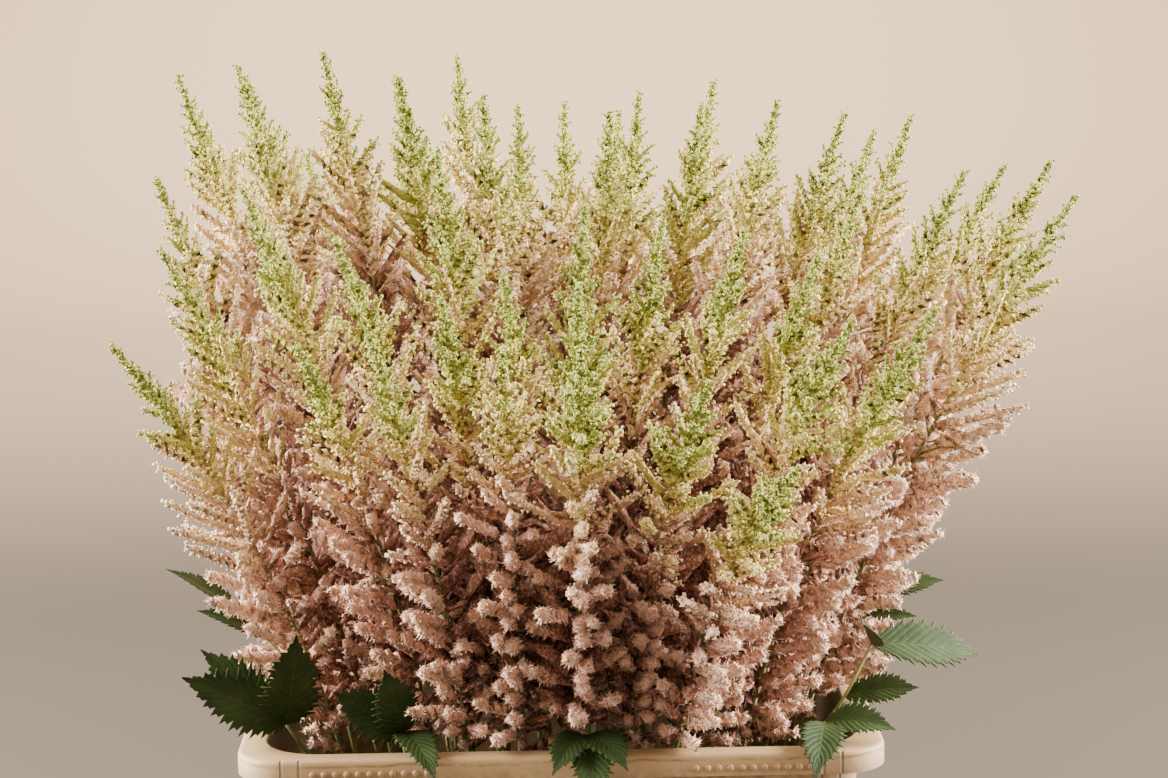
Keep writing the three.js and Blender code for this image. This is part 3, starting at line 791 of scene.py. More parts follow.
def spread_along(path, places):
    """Points at distances along a branch's path."""
    at = np.arange(len(path)) * STEP
    return np.stack([np.interp(places, at, path[:, axis]) for axis in range(3)], -1)


def add_stalk(skeleton, stem, opening):
    """The bare stem, and round its end a column of clustered buds with single ones on it."""
    neck = stem.length - SPIKE
    along = np.unique(np.concatenate([np.linspace(0, neck, 22),
                                      np.linspace(neck, stem.length - 1, 12)]))
    girth = np.where(along < neck, lerp(FOOT_RADIUS, NECK_RADIUS, along / neck),
                     lerp(NECK_RADIUS, TIP_RADIUS, (along - neck) / SPIKE))
    points, _ = stem.at(along)
    skeleton.line(points, kind=STALK, girth=girth, tone=np.clip(along / stem.length, 0, 1),
                  reach=0, light=0)
    from_tip = np.arange(0.5, COLUMN, CLUMP / 2)
    points, _ = stem.at(stem.length - from_tip)
    clump = 1 + 0.25 * np.cos(np.arange(len(from_tip)) * math.pi)
    skeleton.line(points, kind=TWIG, tone=np.clip(from_tip / opening, 0, 1) * CREAM, reach=0.5,
                  light=0.5, girth=graded(*COLUMN_GIRTH, from_tip) * clump)
    from_tip = np.linspace(0.3, COLUMN_BUDS[0], COLUMN_BUDS[1])
    points, tangent = stem.at(stem.length - from_tip)
    points = points + around(tangent, np.arange(len(from_tip)) * GOLDEN) * (
        graded(*COLUMN_REACH, from_tip)[:, None])
    skeleton.dots(points, kind=BUD, girth=COLUMN_BUDS[2], light=0.5, reach=0.6,
                  tone=np.clip(from_tip / opening, 0, 1) * CREAM)


def add_buds(skeleton, branch, tone, size, rng):
    """A thin branch that swells into clumps, set with buds all round."""
    path, reach, light = branch["path"], branch["reach"], branch["glow"]
    seen = branch["light"] > SEEN
    shift = rng.uniform(0, math.tau)
    wide = float(np.clip(0.055 * reach + 1.2, 1.35, 3.0)) * size

    def body(along):
        clump = 0.72 + 0.28 * np.cos(along * math.tau / CLUMP + shift)
        return wide * clump * np.clip((reach - along + 1.2) / 5, 0.25, 1)

    places = np.linspace(0, reach, max(2, round(reach / (CLUMP / 2 if seen else 7))) + 1)
    skeleton.line(spread_along(path, places), kind=TWIG, tone=tone, reach=places / reach,
                  light=light, girth=body(places))
    tangent = unit(path[-1] - path[0])
    count = max(3, round(reach / (BUD_SPACING if seen else SPARSE)))
    along = np.linspace(0.5, reach, count) + rng.normal(0, 0.3, count)
    turn = np.arange(count) * GOLDEN + rng.uniform(0, math.tau)
    away = (body(along) + rng.uniform(0.1, 0.9, count))[:, None]
    points = spread_along(path, along) + around(tangent, turn) * away + tangent * (away * 0.4)
    skeleton.dots(points, kind=BUD, girth=size * rng.uniform(0.8, 1.2, count),
                  tone=tone + rng.normal(0, 0.03, count), light=light,
                  reach=along / max(reach, 1))


def add_core(skeleton, branch, tone):
    """A stubby branch without buds, in the dark round the stem."""
    reach = branch["reach"]
    places = np.array([0, 0.35, 0.75, 1]) * reach
    # Its pink tone, low light and low reach make the flowers' material paint it in dark painted
    # shade.
    skeleton.line(spread_along(branch["path"], places), kind=CORE, tone=max(tone, 0.85),
                  light=0.1, reach=places / reach / 4, girth=np.array([1.2, 2.6, 2.4, 0.8]))


def add_fluff(skeleton, branch, tone, thick):
    """A branch whose end is thick with open flowers, finer where more of it can be seen."""
    path, reach, light = branch["path"], branch["reach"], branch["light"]
    start = max(0.0, reach - FLUFF)
    if start > 3:
        places = np.linspace(0, start + 2, max(2, int(start / 16) + 2))
        skeleton.line(spread_along(path, places), kind=STALK, girth=0.8, tone=1, reach=0,
                      light=0)
    petal = float(graded(*PETAL_LENGTH, branch["from_tip"]))
    petalled = PETALLED[0] if light > OPEN else PETALLED[1] if light > HIDDEN else 0
    fluffy = max(start, reach - petalled)
    for low, high, kind, spacing in ((fluffy, reach, FLUFFY, 4), (start, fluffy, CORE, 10)):
        if high - low < 2:
            continue
        places = np.linspace(low, high, max(2, round((high - low) / spacing)) + 1)
        if kind == FLUFFY:
            places = np.append(places[:-1], [reach - 1.6, reach])
        girth = thick * np.clip((places - start + 2) / 12, 0.4, 1) * (
            1 + 0.27 * np.sin(places * math.tau / LUMP + 40 * branch["share"]))
        girth *= np.clip((reach - places + 0.3) / 3.2, 0.1, 1) ** 0.5
        fringe = smooth(HIDDEN - 0.04, OPEN, light) * graded(
            ON_SIDES, 1, *END, reach - places)
        skeleton.line(spread_along(path, places), kind=kind, girth=girth, petal=petal,
                      fringe=fringe, tone=tone, light=branch["glow"],
                      reach=(places - start) / (reach - start) * (1 if kind == FLUFFY else 0.4))


def directions(count):
    """Directions spread evenly over the upper two thirds of a ball."""
    height = 1 - 1.35 * (np.arange(count) + 0.5) / count
    turn = np.arange(count) * GOLDEN
    flat = np.sqrt(1 - height**2)
    return np.stack([flat * np.cos(turn), flat * np.sin(turn), height], -1)


def measure_light(plumes):
    """Gives every branch its light, the share of directions in which its end sees out of the
    bunch, and its glow, where the lamps at the sides and overhead count for more."""
    owners = [branch for branches in plumes for branch in branches]
    points = np.concatenate([branch["path"][len(branch["path"]) // 3:] for branch in owners])
    low = points.min(0) - CELL
    shape = ((points.max(0) - low) / CELL).astype(int) + 3
    filled = np.zeros(shape, bool)
    filled[tuple(((points - low) / CELL).astype(int).T)] = True
    ends = np.array([branch["path"][-1] for branch in owners])
    light, glow = np.zeros(len(ends)), np.zeros(len(ends))
    ways = directions(WAYS)
    lamps = 0.12 + np.abs(ways[:, 0]) + 0.45 * np.clip(ways[:, 2], 0, 1)
    for way, lamp in zip(ways, lamps / lamps.sum()):
        clear = np.ones(len(ends), bool)
        for step in range(*SIGHT):
            place = ((ends + way * step * CELL - low) / CELL).astype(int)
            within = ((place >= 0) & (place < shape)).all(1)
            place = np.clip(place, 0, shape - 1)
            clear &= ~(filled[tuple(place.T)] & within)
        light += clear
        glow += clear * lamp
    for branch, value, glow_value in zip(owners, light / len(ways), glow):
        branch["light"], branch["glow"] = value, glow_value


def tone_at(from_tip, opening, over, rng):
    """How far the flowers have opened: green buds at 0, cream by 0.4, pink at 1."""
    share = clamp((from_tip - opening + rng.normal(0, 12)) / over, -GREENEST, 1)
    return CREAM + (1 - CREAM) * share if share > 0 else CREAM * (1 + share / GREENEST)


def plume_skeleton(stem, branches):
    """The lines and points of one plume."""
    rng = np.random.default_rng(stem.number + 211)
    skeleton = Skeleton()
    opening = rng.uniform(*OPENS_AT) - OPENS_SOONER * stem.edge
    over = OPENS_OVER * (1 - QUICKER * float(smooth(*FRONT_ROWS, stem.tip[1])))
    add_stalk(skeleton, stem, opening)
    for branch in branches:
        from_tip = branch["from_tip"]
        tone = tone_at(from_tip, opening, over, rng)
        if branch["short"] and branch["light"] < DARK:
            add_core(skeleton, branch, tone)
        elif from_tip < opening + BUDDED[0] + BUDDED[1] * branch["share"]:
            add_buds(skeleton, branch, tone, lerp(*BUD_SIZES, min(1, from_tip / SPIKE)), rng)
        else:
            add_fluff(skeleton, branch, tone, float(graded(*FLUFF_GIRTH, from_tip)))
    return skeleton


# ---------------------------------------------------------------- plumes: their flowers


def plume_part(tree, number):
    """What belongs to one kind of the skeleton."""
    chosen = tree.node("FunctionNodeCompare", {"data_type": "FLOAT", "operation": "EQUAL"}, {
        0: tree.attribute("kind"), 1: float(number), "Epsilon": 0.1})
    return tree.node("GeometryNodeSeparateGeometry", {"domain": "POINT"}, {
        "Geometry": tree.given("Geometry"), "Selection": chosen})


def plume_body(tree, number):
    """A body round the lines of one kind."""
    line = tree.node("GeometryNodeMeshToCurve", inputs={"Mesh": plume_part(tree, number)})
    line = tree.store(line, "grain", tree.node("GeometryNodeInputTangent"), "FLOAT_VECTOR")
    line = tree.node("GeometryNodeSetCurveTilt", inputs={
        "Curve": line, "Tilt": tree.attribute("twist")})
    circle = tree.node("GeometryNodeCurvePrimitiveCircle", inputs={
        "Resolution": SIDES[number], "Radius": MM})
    return tree.node("GeometryNodeCurveToMesh", inputs={
        "Curve": line, "Profile Curve": circle, "Scale": tree.attribute("girth"),
        "Fill Caps": True})


def lumpy_body(tree, number, depth, high):
    """A body that is swollen and dented softly, with a depth for its painted shade and highlight.
    """
    waves = tree.node("ShaderNodeTexNoise", {"noise_dimensions": "3D"}, {
        "Scale": 230.0, "Detail": 1.0})
    offset = tree.scaled(tree.node("GeometryNodeInputNormal"), (waves - 0.5) * high)
    mesh = tree.node("GeometryNodeSetPosition", inputs={
        "Geometry": plume_body(tree, number), "Offset": offset})
    return tree.store(tree.dress(mesh, "Flowers"), "depth", depth)


def petals_on(tree, mesh):
    """Thin cones that stand out of the open flowers and lean to the end of their branch."""
    petal = tree.node("GeometryNodeMeshCone", {"fill_type": "NGON"}, {
        "Vertices": 3, "Radius Top": 0.0, "Radius Bottom": 0.15, "Depth": 1.0})
    rise = tree.node("ShaderNodeSeparateXYZ", inputs={
        0: tree.node("GeometryNodeInputPosition")}, output=2)
    petal = tree.store(petal, "depth", rise * 0.7 + 0.4)
    roots, normal = tree.node("GeometryNodeDistributePointsOnFaces", inputs={
        "Mesh": mesh, "Density": tree.given("Fringe") * tree.attribute("fringe"),
        "Seed": tree.given("Seed")}, output=("Points", "Normal"))
    lean = tree.scaled(tree.attribute("grain", "FLOAT_VECTOR"), tree.given("Lean"))
    way = tree.vector("ADD", tree.vector("ADD", normal, lean), tree.random_vector(0.4))
    turn = tree.node("FunctionNodeAlignRotationToVector", {"axis": "Z"}, {"Vector": way})
    length = tree.given("Petal") * tree.attribute("petal") * tree.random(0.7, 1.3)
    return tree.dress(tree.copies(roots, petal, Rotation=turn, Scale=length), "Flowers", False)


def buds_on(tree, mesh):
    """A bud on every point, each turned another way."""
    bud = tree.node("GeometryNodeMeshUVSphere", inputs={
        "Segments": 3, "Rings": 2, "Radius": tree.given("Bud Size")})
    bud = tree.store(bud, "depth", 0.8)
    points = tree.node("GeometryNodeMeshToPoints", inputs={"Mesh": mesh})
    size = tree.attribute("girth") * tree.random(0.8, 1.25)
    buds = tree.copies(points, bud, Rotation=tree.random_vector(math.pi), Scale=size)
    return tree.dress(buds, "Flowers")


def plume_nodes():
    """The tree that grows a plume on its skeleton: stalks, buds and fringed open flowers."""
    tree = GeometryTree("plume", {
        "Petal": ("NodeSocketFloat", 0.003), "Lean": ("NodeSocketFloat", 0.25),
        "Fringe": ("NodeSocketFloat", 150000.0), "Bud Size": ("NodeSocketFloat", 0.0012),
        "Seed": ("NodeSocketInt", 0),
        "Flowers": ("NodeSocketMaterial", None), "Stalks": ("NodeSocketMaterial", None),
    })
    stalks = tree.dress(plume_body(tree, STALK), "Stalks")
    cores = lumpy_body(tree, CORE, 0.35, 0.005)
    twigs = lumpy_body(tree, TWIG, 0.6, 0.001)
    fluffy = lumpy_body(tree, FLUFFY, 0.52, 0.005)
    buds = buds_on(tree, plume_part(tree, BUD))
    whole = tree.node("GeometryNodeJoinGeometry", inputs={
        "Geometry": [stalks, cores, twigs, buds, fluffy, petals_on(tree, fluffy)]})
    for name in ("grain", "girth", "kind", "petal", "fringe", "twist"):
        whole = tree.node("GeometryNodeRemoveAttribute", inputs={"Geometry": whole, "Name": name})
    return tree.close(whole)


# ---------------------------------------------------------------- materials


def flower_material():
    """Tight green buds that open through cream to salmon pink; painted shade between the petals.
    """
    tree = ShaderTree("astilbe_flowers")
    patch = (tree.noise(0.012, 3) - 0.5) * 0.5
    speckle = tree.noise(0.0017, 1)
    tone = tree.attribute("tone") + patch * 0.6
    round_buds, pointed = tree.grains(0.0021, 0.66, 0.2), tree.grains(0.0014, 0.6, 0.1)
    closed = tree.between(tone, 0.66, 0.46)
    grain = ((pointed - 0.2) * 0.62 + (speckle - 0.5) * 0.5) * (1 - closed) + (
        round_buds - 0.4) * 0.75 * closed
    relief = (pointed + speckle) * 0.7 * (1 - closed) + round_buds * closed
    open_color = tree.ramp(tone, [
        (0.0, (0.33, 0.38, 0.075)), (0.2, (0.49, 0.50, 0.11)), (0.4, (0.76, 0.63, 0.20)),
        (0.58, (0.87, 0.63, 0.31)), (0.78, (0.92, 0.61, 0.41)), (1.0, (0.91, 0.57, 0.425))])
    # Painted shade: the colour at low depth, on the rims of the grains and the bodies of the
    # branches, where buds and petals shade each other.
    shade_color = tree.ramp(tone, [
        (0.0, (0.28, 0.32, 0.065)), (0.4, (0.64, 0.52, 0.17)), (0.75, (0.72, 0.41, 0.26)),
        (1.0, (0.67, 0.35, 0.26))])
    # Painted highlight, partly the petals' own pale tips: the colour at high depth, most towards
    # the ends of branches.
    pale_tips_and_painted_highlight = tree.ramp(tone, [
        (0.0, (0.46, 0.50, 0.16)), (0.4, (0.79, 0.69, 0.25)), (0.6, (0.88, 0.70, 0.39)),
        (0.8, (0.97, 0.77, 0.57)), (1.0, (0.98, 0.795, 0.63))])
    # Painted light: towards the sides of the bunch, lit by the side lamps, the flowers are made
    # paler and warmer and get less painted shade.
    sides = tree.between(tree.absolute(tree.axis(0)), 0.13, 0.26)
    # Depth sets the painted shade and painted highlight: low on the bodies, high on buds and petal
    # tips, higher in the middles of the grains than at their rims.
    depth = tree.attribute("depth") + grain + sides * 0.32
    color = tree.mix(tree.between(depth, -0.1, 0.5), shade_color, open_color)
    outer = tree.between(tree.attribute("reach") + patch * 0.5, 0.3, 1.0)
    color = tree.mix(tree.between(depth, 0.45, 1.05) * (outer * 0.7 + 0.3), color, pale_tips_and_painted_highlight)
    # Painted light: a warm salmon wash on the pink flowers at the sides of the bunch.
    color = tree.mix(sides * tree.between(tone, 0.5, 0.8) * 0.3, color, (0.99, 0.69, 0.49))
    # Painted shade: where little light reaches, on the inner parts of pink branches, the colour is
    # darkened to maroon, leaving lighter specks; shaded branches are darkened to brown.
    painted_inner_shade = (1 - outer) * tree.between(tone, 0.5, 0.9) * tree.between(
        tree.attribute("light"), 0.46, 0.15)
    painted_inner_shade = painted_inner_shade * (1 - tree.between(tree.noise(0.0024, 1), 0.48, 0.6) * 0.75)
    color = tree.mix(painted_inner_shade * (0.8 - sides * 0.6), color, (0.20, 0.06, 0.04))
    shaded = tree.between(tree.attribute("light"), 0.5, 0.2) * tree.between(tone, 0.5, 0.8)
    color = tree.mix(shaded * (0.35 - sides * 0.35), color, (0.34, 0.14, 0.105))
    return tree.finish(color, 0.85, height=relief, distance=0.001, Specular_IOR_Level=0.15)


def stalk_material():
    """Green, with streaks along the stalk and here and there a flush of red."""
    tree = ShaderTree("astilbe_stalks")
    along = tree.node("ShaderNodeVectorMath", {"operation": "MULTIPLY"}, {
        0: tree.place, 1: (1, 1, 0.12)})
    streak = tree.node("ShaderNodeTexNoise", inputs={
        "Vector": along, "Scale": 420.0, "Detail": 2.0})
    green = tree.mix(tree.between(streak, 0.35, 0.7), (0.11, 0.15, 0.035), (0.24, 0.27, 0.08))
    color = tree.mix(tree.between(tree.noise(0.05, 3), 0.45, 0.7), green, (0.26, 0.13, 0.07))
    return tree.finish(color, 0.55, height=streak, distance=0.0002)


def leaf_material():
    """Dark green with paler veins; the blade is quilted between them."""
    tree = ShaderTree("astilbe_leaf")
    along, across = tree.attribute("along"), tree.attribute("across")
    size = tree.absolute(across)
    wave = tree.node("ShaderNodeMath", {"operation": "PINGPONG"}, {
        0: along * Blade.TEETH - size * VEIN_SLANT, 1: 0.5})
    vein = tree.between(wave, 0.0, 0.13)
    midrib = tree.between(size, 0.0, 0.07)
    blade = vein * midrib
    green = tree.mix(tree.between(tree.noise(0.02, 4), 0.3, 0.7),
                     (0.016, 0.032, 0.008), (0.032, 0.058, 0.014))
    green = tree.mix(tree.between(tree.attribute("under"), 0.4, 0.6), green, (0.045, 0.078, 0.026))
    edge = tree.mix(tree.between(size, 0.9, 1.05), green, (0.045, 0.06, 0.015))
    color = tree.mix(blade, tree.mix(0.4, edge, (0.058, 0.09, 0.024)), edge)
    quilt = tree.between(wave, 0.0, 0.5) * 0.4 + tree.noise(0.0025, 3) * 0.5
    return tree.finish(color, 0.62, height=blade * 0.4 + quilt, distance=0.0004,
                       Specular_IOR_Level=0.16)


def petiole_material():
    """Green with a reddish flush."""
    tree = ShaderTree("astilbe_petiole")
    color = tree.mix(tree.between(tree.noise(0.03, 3), 0.35, 0.7),
                     (0.20, 0.27, 0.07), (0.34, 0.30, 0.11))
    return tree.finish(color, 0.5)


def crate_material():
    """Cream plastic, stained brown along the lower edge of the lip, with painted shade inside."""
    tree = ShaderTree("crate_plastic")
    height = tree.axis(2)
    cloud = tree.noise(0.05, 4)
    fine = tree.noise(0.004, 3)
    base = tree.mix(tree.between(cloud, 0.3, 0.75), (0.45, 0.305, 0.157), (0.38, 0.255, 0.128))
    rim = RIM_HEIGHT * MM
    lower = tree.between(height, rim - 0.004, rim - LIP * MM - 0.001) * tree.between(
        cloud + (fine - 0.5) * 0.7, 0.36, 0.62)
    stained = tree.mix(lower * 0.75, base, (0.24, 0.15, 0.08))
    wander = (tree.noise(0.03, 3) - 0.5) * 0.006
    line = tree.absolute(height - (rim - 0.0038) + wander)
    line = tree.between(line, 0.0013, 0.0002) * tree.between(cloud + fine * 0.5, 0.62, 0.85)
    stained = tree.mix(line * 0.7, stained, (0.20, 0.10, 0.04))
    # Painted shade: the inside of the crate, under the plants, is darkened to green-black, most
    # just under the rim.
    color = tree.mix(tree.attribute("inside") * 0.92, stained, (0.022, 0.024, 0.012))
    speck = tree.between(tree.noise(0.0016, 1), 0.70, 0.76)
    color = tree.mix(speck * 0.45, color, (0.20, 0.13, 0.07))
    x = tree.absolute(tree.axis(0))
    near, far = (tree.between(tree.absolute(x - place * MM), 0.0012, 0.0004) * tree.between(
        height, rim, rim - 0.001) for place in GROOVES)
    groove = near + far
    color = tree.mix(groove * 0.6, color, (0.16, 0.09, 0.05))
    relief = fine * 0.3 - groove * 2.0
    return tree.finish(color, 0.42 + fine * 0.2, height=relief, distance=0.0006,
                       Specular_IOR_Level=0.45)


def water_material():
    """Still water over a dark floor, a little cloudy."""
    tree = ShaderTree("crate_water")
    color = tree.mix(tree.noise(0.06, 3), (0.06, 0.065, 0.035), (0.12, 0.12, 0.07))
    return tree.finish(color, 0.06, height=tree.noise(0.03, 1), distance=0.0005,
                       Specular_IOR_Level=0.6)


# ---------------------------------------------------------------- pieces


def attribute_on(mesh, name, values):
    """Gives a mesh's points a value for its material."""
    attribute = mesh.attributes.new(name, "FLOAT", "POINT")
    attribute.data.foreach_set("value", np.asarray(values, np.float32).ravel())


def tube_faces(rings, sides):
    """Faces of a closed tube through rings of points, with flat ends."""
    faces = []
    for ring in range(rings - 1):
        for k in range(sides):
            a, b = ring * sides + k, ring * sides + (k + 1) % sides
            faces.append((a, b, b + sides, a + sides))
    faces.append(tuple(reversed(range(sides))))
    faces.append(tuple((rings - 1) * sides + k for k in range(sides)))
    return faces


def tube(line, radii, sides):
    """Points of rings swept along a line."""
    tangent = unit(np.gradient(line, axis=0))
    side = unit(np.cross(line[-1] - line[0], UP))
    normal = unit(side - tangent * (tangent @ side)[:, None])
    binormal = np.cross(tangent, normal)
    turn = np.arange(sides) / sides * math.tau
    ring = (normal[:, None] * np.cos(turn)[None, :, None]
            + binormal[:, None] * np.sin(turn)[None, :, None])
    return (line[:, None] + ring * radii[:, None, None]).reshape(-1, 3)


class Blade:
    """A toothed leaflet as a thin closed mesh."""

    TEETH = 11
    SMALL = 2                    # small teeth on each of those
    ROWS = (0, 0.25, 0.5, 0.68, 0.84, 1)
    TOOTHED_FROM = 0.6           # of those, where the teeth begin
    TOOTH, SMALL_TOOTH = 0.38, 0.2   # their heights, as shares of the half width
    SWEEP = 0.05                 # how far they and the edge are swept to the tip
    QUILT = 0.12                 # how high the blade bulges between its veins
    THICKNESS = 0.5

    def __init__(self, shape, seed):
        rng = np.random.default_rng(seed)
        columns = self.TEETH * self.SMALL * 3
        along = np.linspace(0, 1, columns + 1)
        tooth = along * self.TEETH % 1
        small = along * self.TEETH * self.SMALL % 1
        # Teeth rise slowly and drop fast, so they point to the tip.
        height = self.TOOTH * (tooth - 0.6) + self.SMALL_TOOTH * (small - 0.4)
        size = 1 + 0.05 * np.interp(along, np.linspace(0, 1, 7), rng.normal(0, 1, 7))
        half = shape.half_width(along)
        sweep = self.SWEEP * np.sin(math.pi * along)
        grid = {}
        points, shares, across_shares = [], [], []
        for hand in (1, -1):
            for row, share in enumerate(self.ROWS):
                if row == 0 and hand < 0:
                    continue
                teeth = max(0, (share - self.TOOTHED_FROM) / (1 - self.TOOTHED_FROM))
                across = hand * share * half * size * (1 + teeth * height)
                forward = along + sweep * (teeth * (tooth - 0.4) + share)
                vein = (along * self.TEETH - share * VEIN_SLANT) % 1
                quilt = self.QUILT * np.sin(math.pi * vein) * np.sin(math.pi * share) ** 0.5
                row_points = shape.at(np.clip(forward, 0, 1), across, quilt * (half > 2))
                for column in range(columns + 1):
                    if column in (0, columns) and row:
                        grid[hand, row, column] = grid[1, 0, column]
                        continue
                    grid[hand, row, column] = len(points)
                    points.append(row_points[column])
                    shares.append(along[column])
                    across_shares.append(hand * share)
        for column in range(columns + 1):
            grid[-1, 0, column] = grid[1, 0, column]
        thick = shape.face * self.THICKNESS / 2
        self.points = np.concatenate([np.array(points) + thick, np.array(points) - thick])
        self.faces = self.closed(grid, columns, len(points))
        self.along = np.tile(shares, 2)
        self.across = np.tile(across_shares, 2)
        self.under = np.repeat([0, 1], len(points))

    def closed(self, grid, columns, count):
        """Faces over the upper side, the underside and the edge between them."""
        upper = []
        for hand in (1, -1):
            for row in range(len(self.ROWS) - 1):
                for column in range(columns):
                    cell = [grid[hand, row, column], grid[hand, row, column + 1],
                            grid[hand, row + 1, column + 1], grid[hand, row + 1, column]]
                    cell = list(dict.fromkeys(cell))
                    if len(cell) > 2:
                        upper.append(cell[::-1] if hand > 0 else cell)
        last = len(self.ROWS) - 1
        border = [grid[1, last, column] for column in range(columns + 1)]
        border += [grid[-1, last, column] for column in range(columns - 1, 0, -1)]
        faces = [tuple(face) for face in upper]
        faces += [tuple(count + corner for corner in reversed(face)) for face in upper]
        faces += [(b, a, count + a, count + b) for a, b in zip(border, border[1:] + border[:1])]
        return faces


def leaf_piece(name, leaf, number, green, petiole):
    """A compound leaf: its stalk and its leaflets."""
    rings, sides = 30, 8
    radii = np.linspace(LEAF_STALK_RADIUS * 1.15, LEAF_STALK_RADIUS * 0.8, rings)
    points = [tube(leaf_stalk(leaf, rings), radii, sides)]
    faces = tube_faces(rings, sides)
    slots = [1] * len(faces)
    values = {key: [np.zeros(len(points[0]))] for key in ("along", "across", "under")}
    start = len(points[0])
    for k, leaflet in enumerate(leaf[2]):
        blade = Blade(Leaflet(leaf, leaflet), 40 * number + k)
        points.append(blade.points)
        faces += [tuple(start + corner for corner in face) for face in blade.faces]
        slots += [0] * len(blade.faces)
        for key in values:
            values[key].append(getattr(blade, key))
        start += len(blade.points)
    piece = mesh_piece(name, np.concatenate(points), faces, green, True)
    piece.data.materials.append(petiole)
    piece.data.polygons.foreach_set("material_index", slots)
    for key, parts in values.items():
        attribute_on(piece.data, key, np.concatenate(parts))
    return piece


CORNER_STEPS = 12                # faces round each of the crate's corners
BEVEL = 3                        # rounding of its edges
BAND = ((20, 0), (21, 0.8), (23, 0.8), (24, 0))    # low on its walls: heights, and how thick
GROOVES = (160, 171)             # across its rim beside the corners, from its middle
BEADS = (82, 156, 7, 9)          # first, last, pitch along the lip, and depth under the rim
BEAD = 2.1                       # radius of a bead


def rounded_rectangle(half_x, half_y, radius, height):
    """A ring of points round a rectangle with rounded corners."""
    points = []
    for corner, (side_x, side_y) in enumerate([(1, 1), (-1, 1), (-1, -1), (1, -1)]):
        turn = (corner + np.linspace(0, 1, CORNER_STEPS + 1)) * math.pi / 2
        points.append(np.stack([side_x * (half_x - radius) + radius * np.cos(turn),
                                side_y * (half_y - radius) + radius * np.sin(turn),
                                np.full(len(turn), height)], -1))
    return np.concatenate(points)


def crate_piece(material):
    """The crate: tapering walls, a flat rim and a lip turned down round it."""
    half_x, half_y, top = CRATE_HIGH

    def wall(level, inside):
        inward = FLANGE - WALL + TAPER * (1 - level / top)
        return rounded_rectangle(half_x - inward - inside, half_y - inward - inside,
                                 WALL_CORNER - inside, level)

    def rim(inset, level, radius):
        return rounded_rectangle(half_x - inset, half_y - inset, radius, level)

    # Rings of points from the outside of the floor up, over the rim and down to the inside of the
    # floor, each with how much painted shade it gets inside.
    rings = [
        (wall(0, BEVEL), 0), (wall(0.9, 0.9), 0), (wall(BEVEL, 0), 0),
        *((wall(level, -thick), 0) for level, thick in BAND),
        (wall(top - 60, 0), 0), (wall(top - LIP, 0), 0), (wall(top - WALL, 0), 0),
        (rim(WALL, top - WALL, RIM_CORNER - WALL), 0),
        (rim(WALL, top - LIP, RIM_CORNER - WALL), 0),
        (rim(0, top - LIP, RIM_CORNER), 0), (rim(0, top - BEVEL, RIM_CORNER), 0),
        (rim(0.4, top - 1.3, RIM_CORNER - 0.4), 0), (rim(1.3, top - 0.4, RIM_CORNER - 1.3), 0),
        (rim(BEVEL, top, RIM_CORNER - BEVEL), 0),
        (rim(FLANGE - BEVEL, top, OPENING_CORNER + BEVEL), 0),
        (rim(FLANGE - 1.2, top - 0.5, OPENING_CORNER + 1.2), 0.4),
        (rim(FLANGE, top - BEVEL, OPENING_CORNER), 1),
        (wall(top - LIP - WALL, WALL), 1), (wall(top - 60, WALL), 0.6),
        (wall(2 * WALL, WALL), 0.5), (wall(WALL, 2 * WALL), 0.5),
    ]
    sides = 4 * (CORNER_STEPS + 1)
    piece = mesh_piece("crate_fine", np.concatenate([ring for ring, _ in rings]),
                       tube_faces(len(rings), sides), material, True)
    attribute_on(piece.data, "inside", np.repeat([inside for _, inside in rings], sides))
    piece.data.set_sharp_from_angle(angle=math.radians(40))
    return piece


def bead_nodes():
    """The tree that sets a bead on every point of a row."""
    tree = GeometryTree("beads", {"Radius": ("NodeSocketFloat", BEAD * MM),
                                  "Plastic": ("NodeSocketMaterial", None)})
    points = tree.node("GeometryNodeMeshToPoints", inputs={"Mesh": tree.given("Geometry")})
    bead = tree.node("GeometryNodeMeshUVSphere", inputs={
        "Segments": 12, "Rings": 8, "Radius": tree.given("Radius")})
    return tree.close(tree.dress(tree.copies(points, bead, Scale=(1, 0.55, 1)), "Plastic"))


def bead_piece(material):
    """Rows of small round beads along the front and back of the lip, near its ends."""
    first, last, pitch, depth = BEADS
    along = np.arange(first, last + 0.1, pitch)
    points = [(side * x, face * (CRATE_HIGH[1] + 0.2), RIM_HEIGHT - depth)
              for face in (-1, 1) for side in (-1, 1) for x in along]
    piece = mesh_piece("crate_beads", points, [], material)
    return GeometryTree.apply(bead_nodes(), piece, {"Radius": BEAD * MM, "Plastic": material})


# ---------------------------------------------------------------- stage

PAPER = (7000, 5200, 6000, 1500)     # half width, back, height and curve of the backdrop
BUNCH = (0, 0, 0.45)             # what the lamps are aimed at, in metres as all that follows
LAMPS = [                        # name, setting for its power, size, place, aim
    ("top", "top", 2.2, (0, 0.6, 2.4), BUNCH),
    ("left", "side", 2.3, (-2.2, 0.35, 1.1), BUNCH),
    ("right", "side", 2.3, (2.2, 0.35, 1.1), BUNCH),
    ("back", "back", 1.2, (0, 2.7, 2.6), (0, 4.8, 0.5)),
]
LAMP_COLOR = (1.0, 0.95, 0.88)
LENS = 89.09
CAMERA = ((-0.00335, -1.85, 0.7928), 0.68, 9.39, -0.82)     # place, yaw, pitch, roll


def paper_material(color):
    """Matt paper, darkened near the bunch by painted shade and light farther off."""
    tree = ShaderTree("stage_paper")
    away = tree.node("ShaderNodeVectorMath", {"operation": "ABSOLUTE"}, {0: tree.place})
    far = tree.node("ShaderNodeVectorMath", {"operation": "DOT_PRODUCT"}, {
        0: away, 1: (0, 0.23, 0.1)}, output="Value")
    # Painted shade: near the bunch the paper's colour is darkened almost to black, fading out with
    # distance.
    near = tuple(channel * share for channel, share in zip(color, (0.036, 0.034, 0.028)))
    return tree.finish(tree.mix(tree.between(far, 0.30, 1.22), near, color), 0.9)


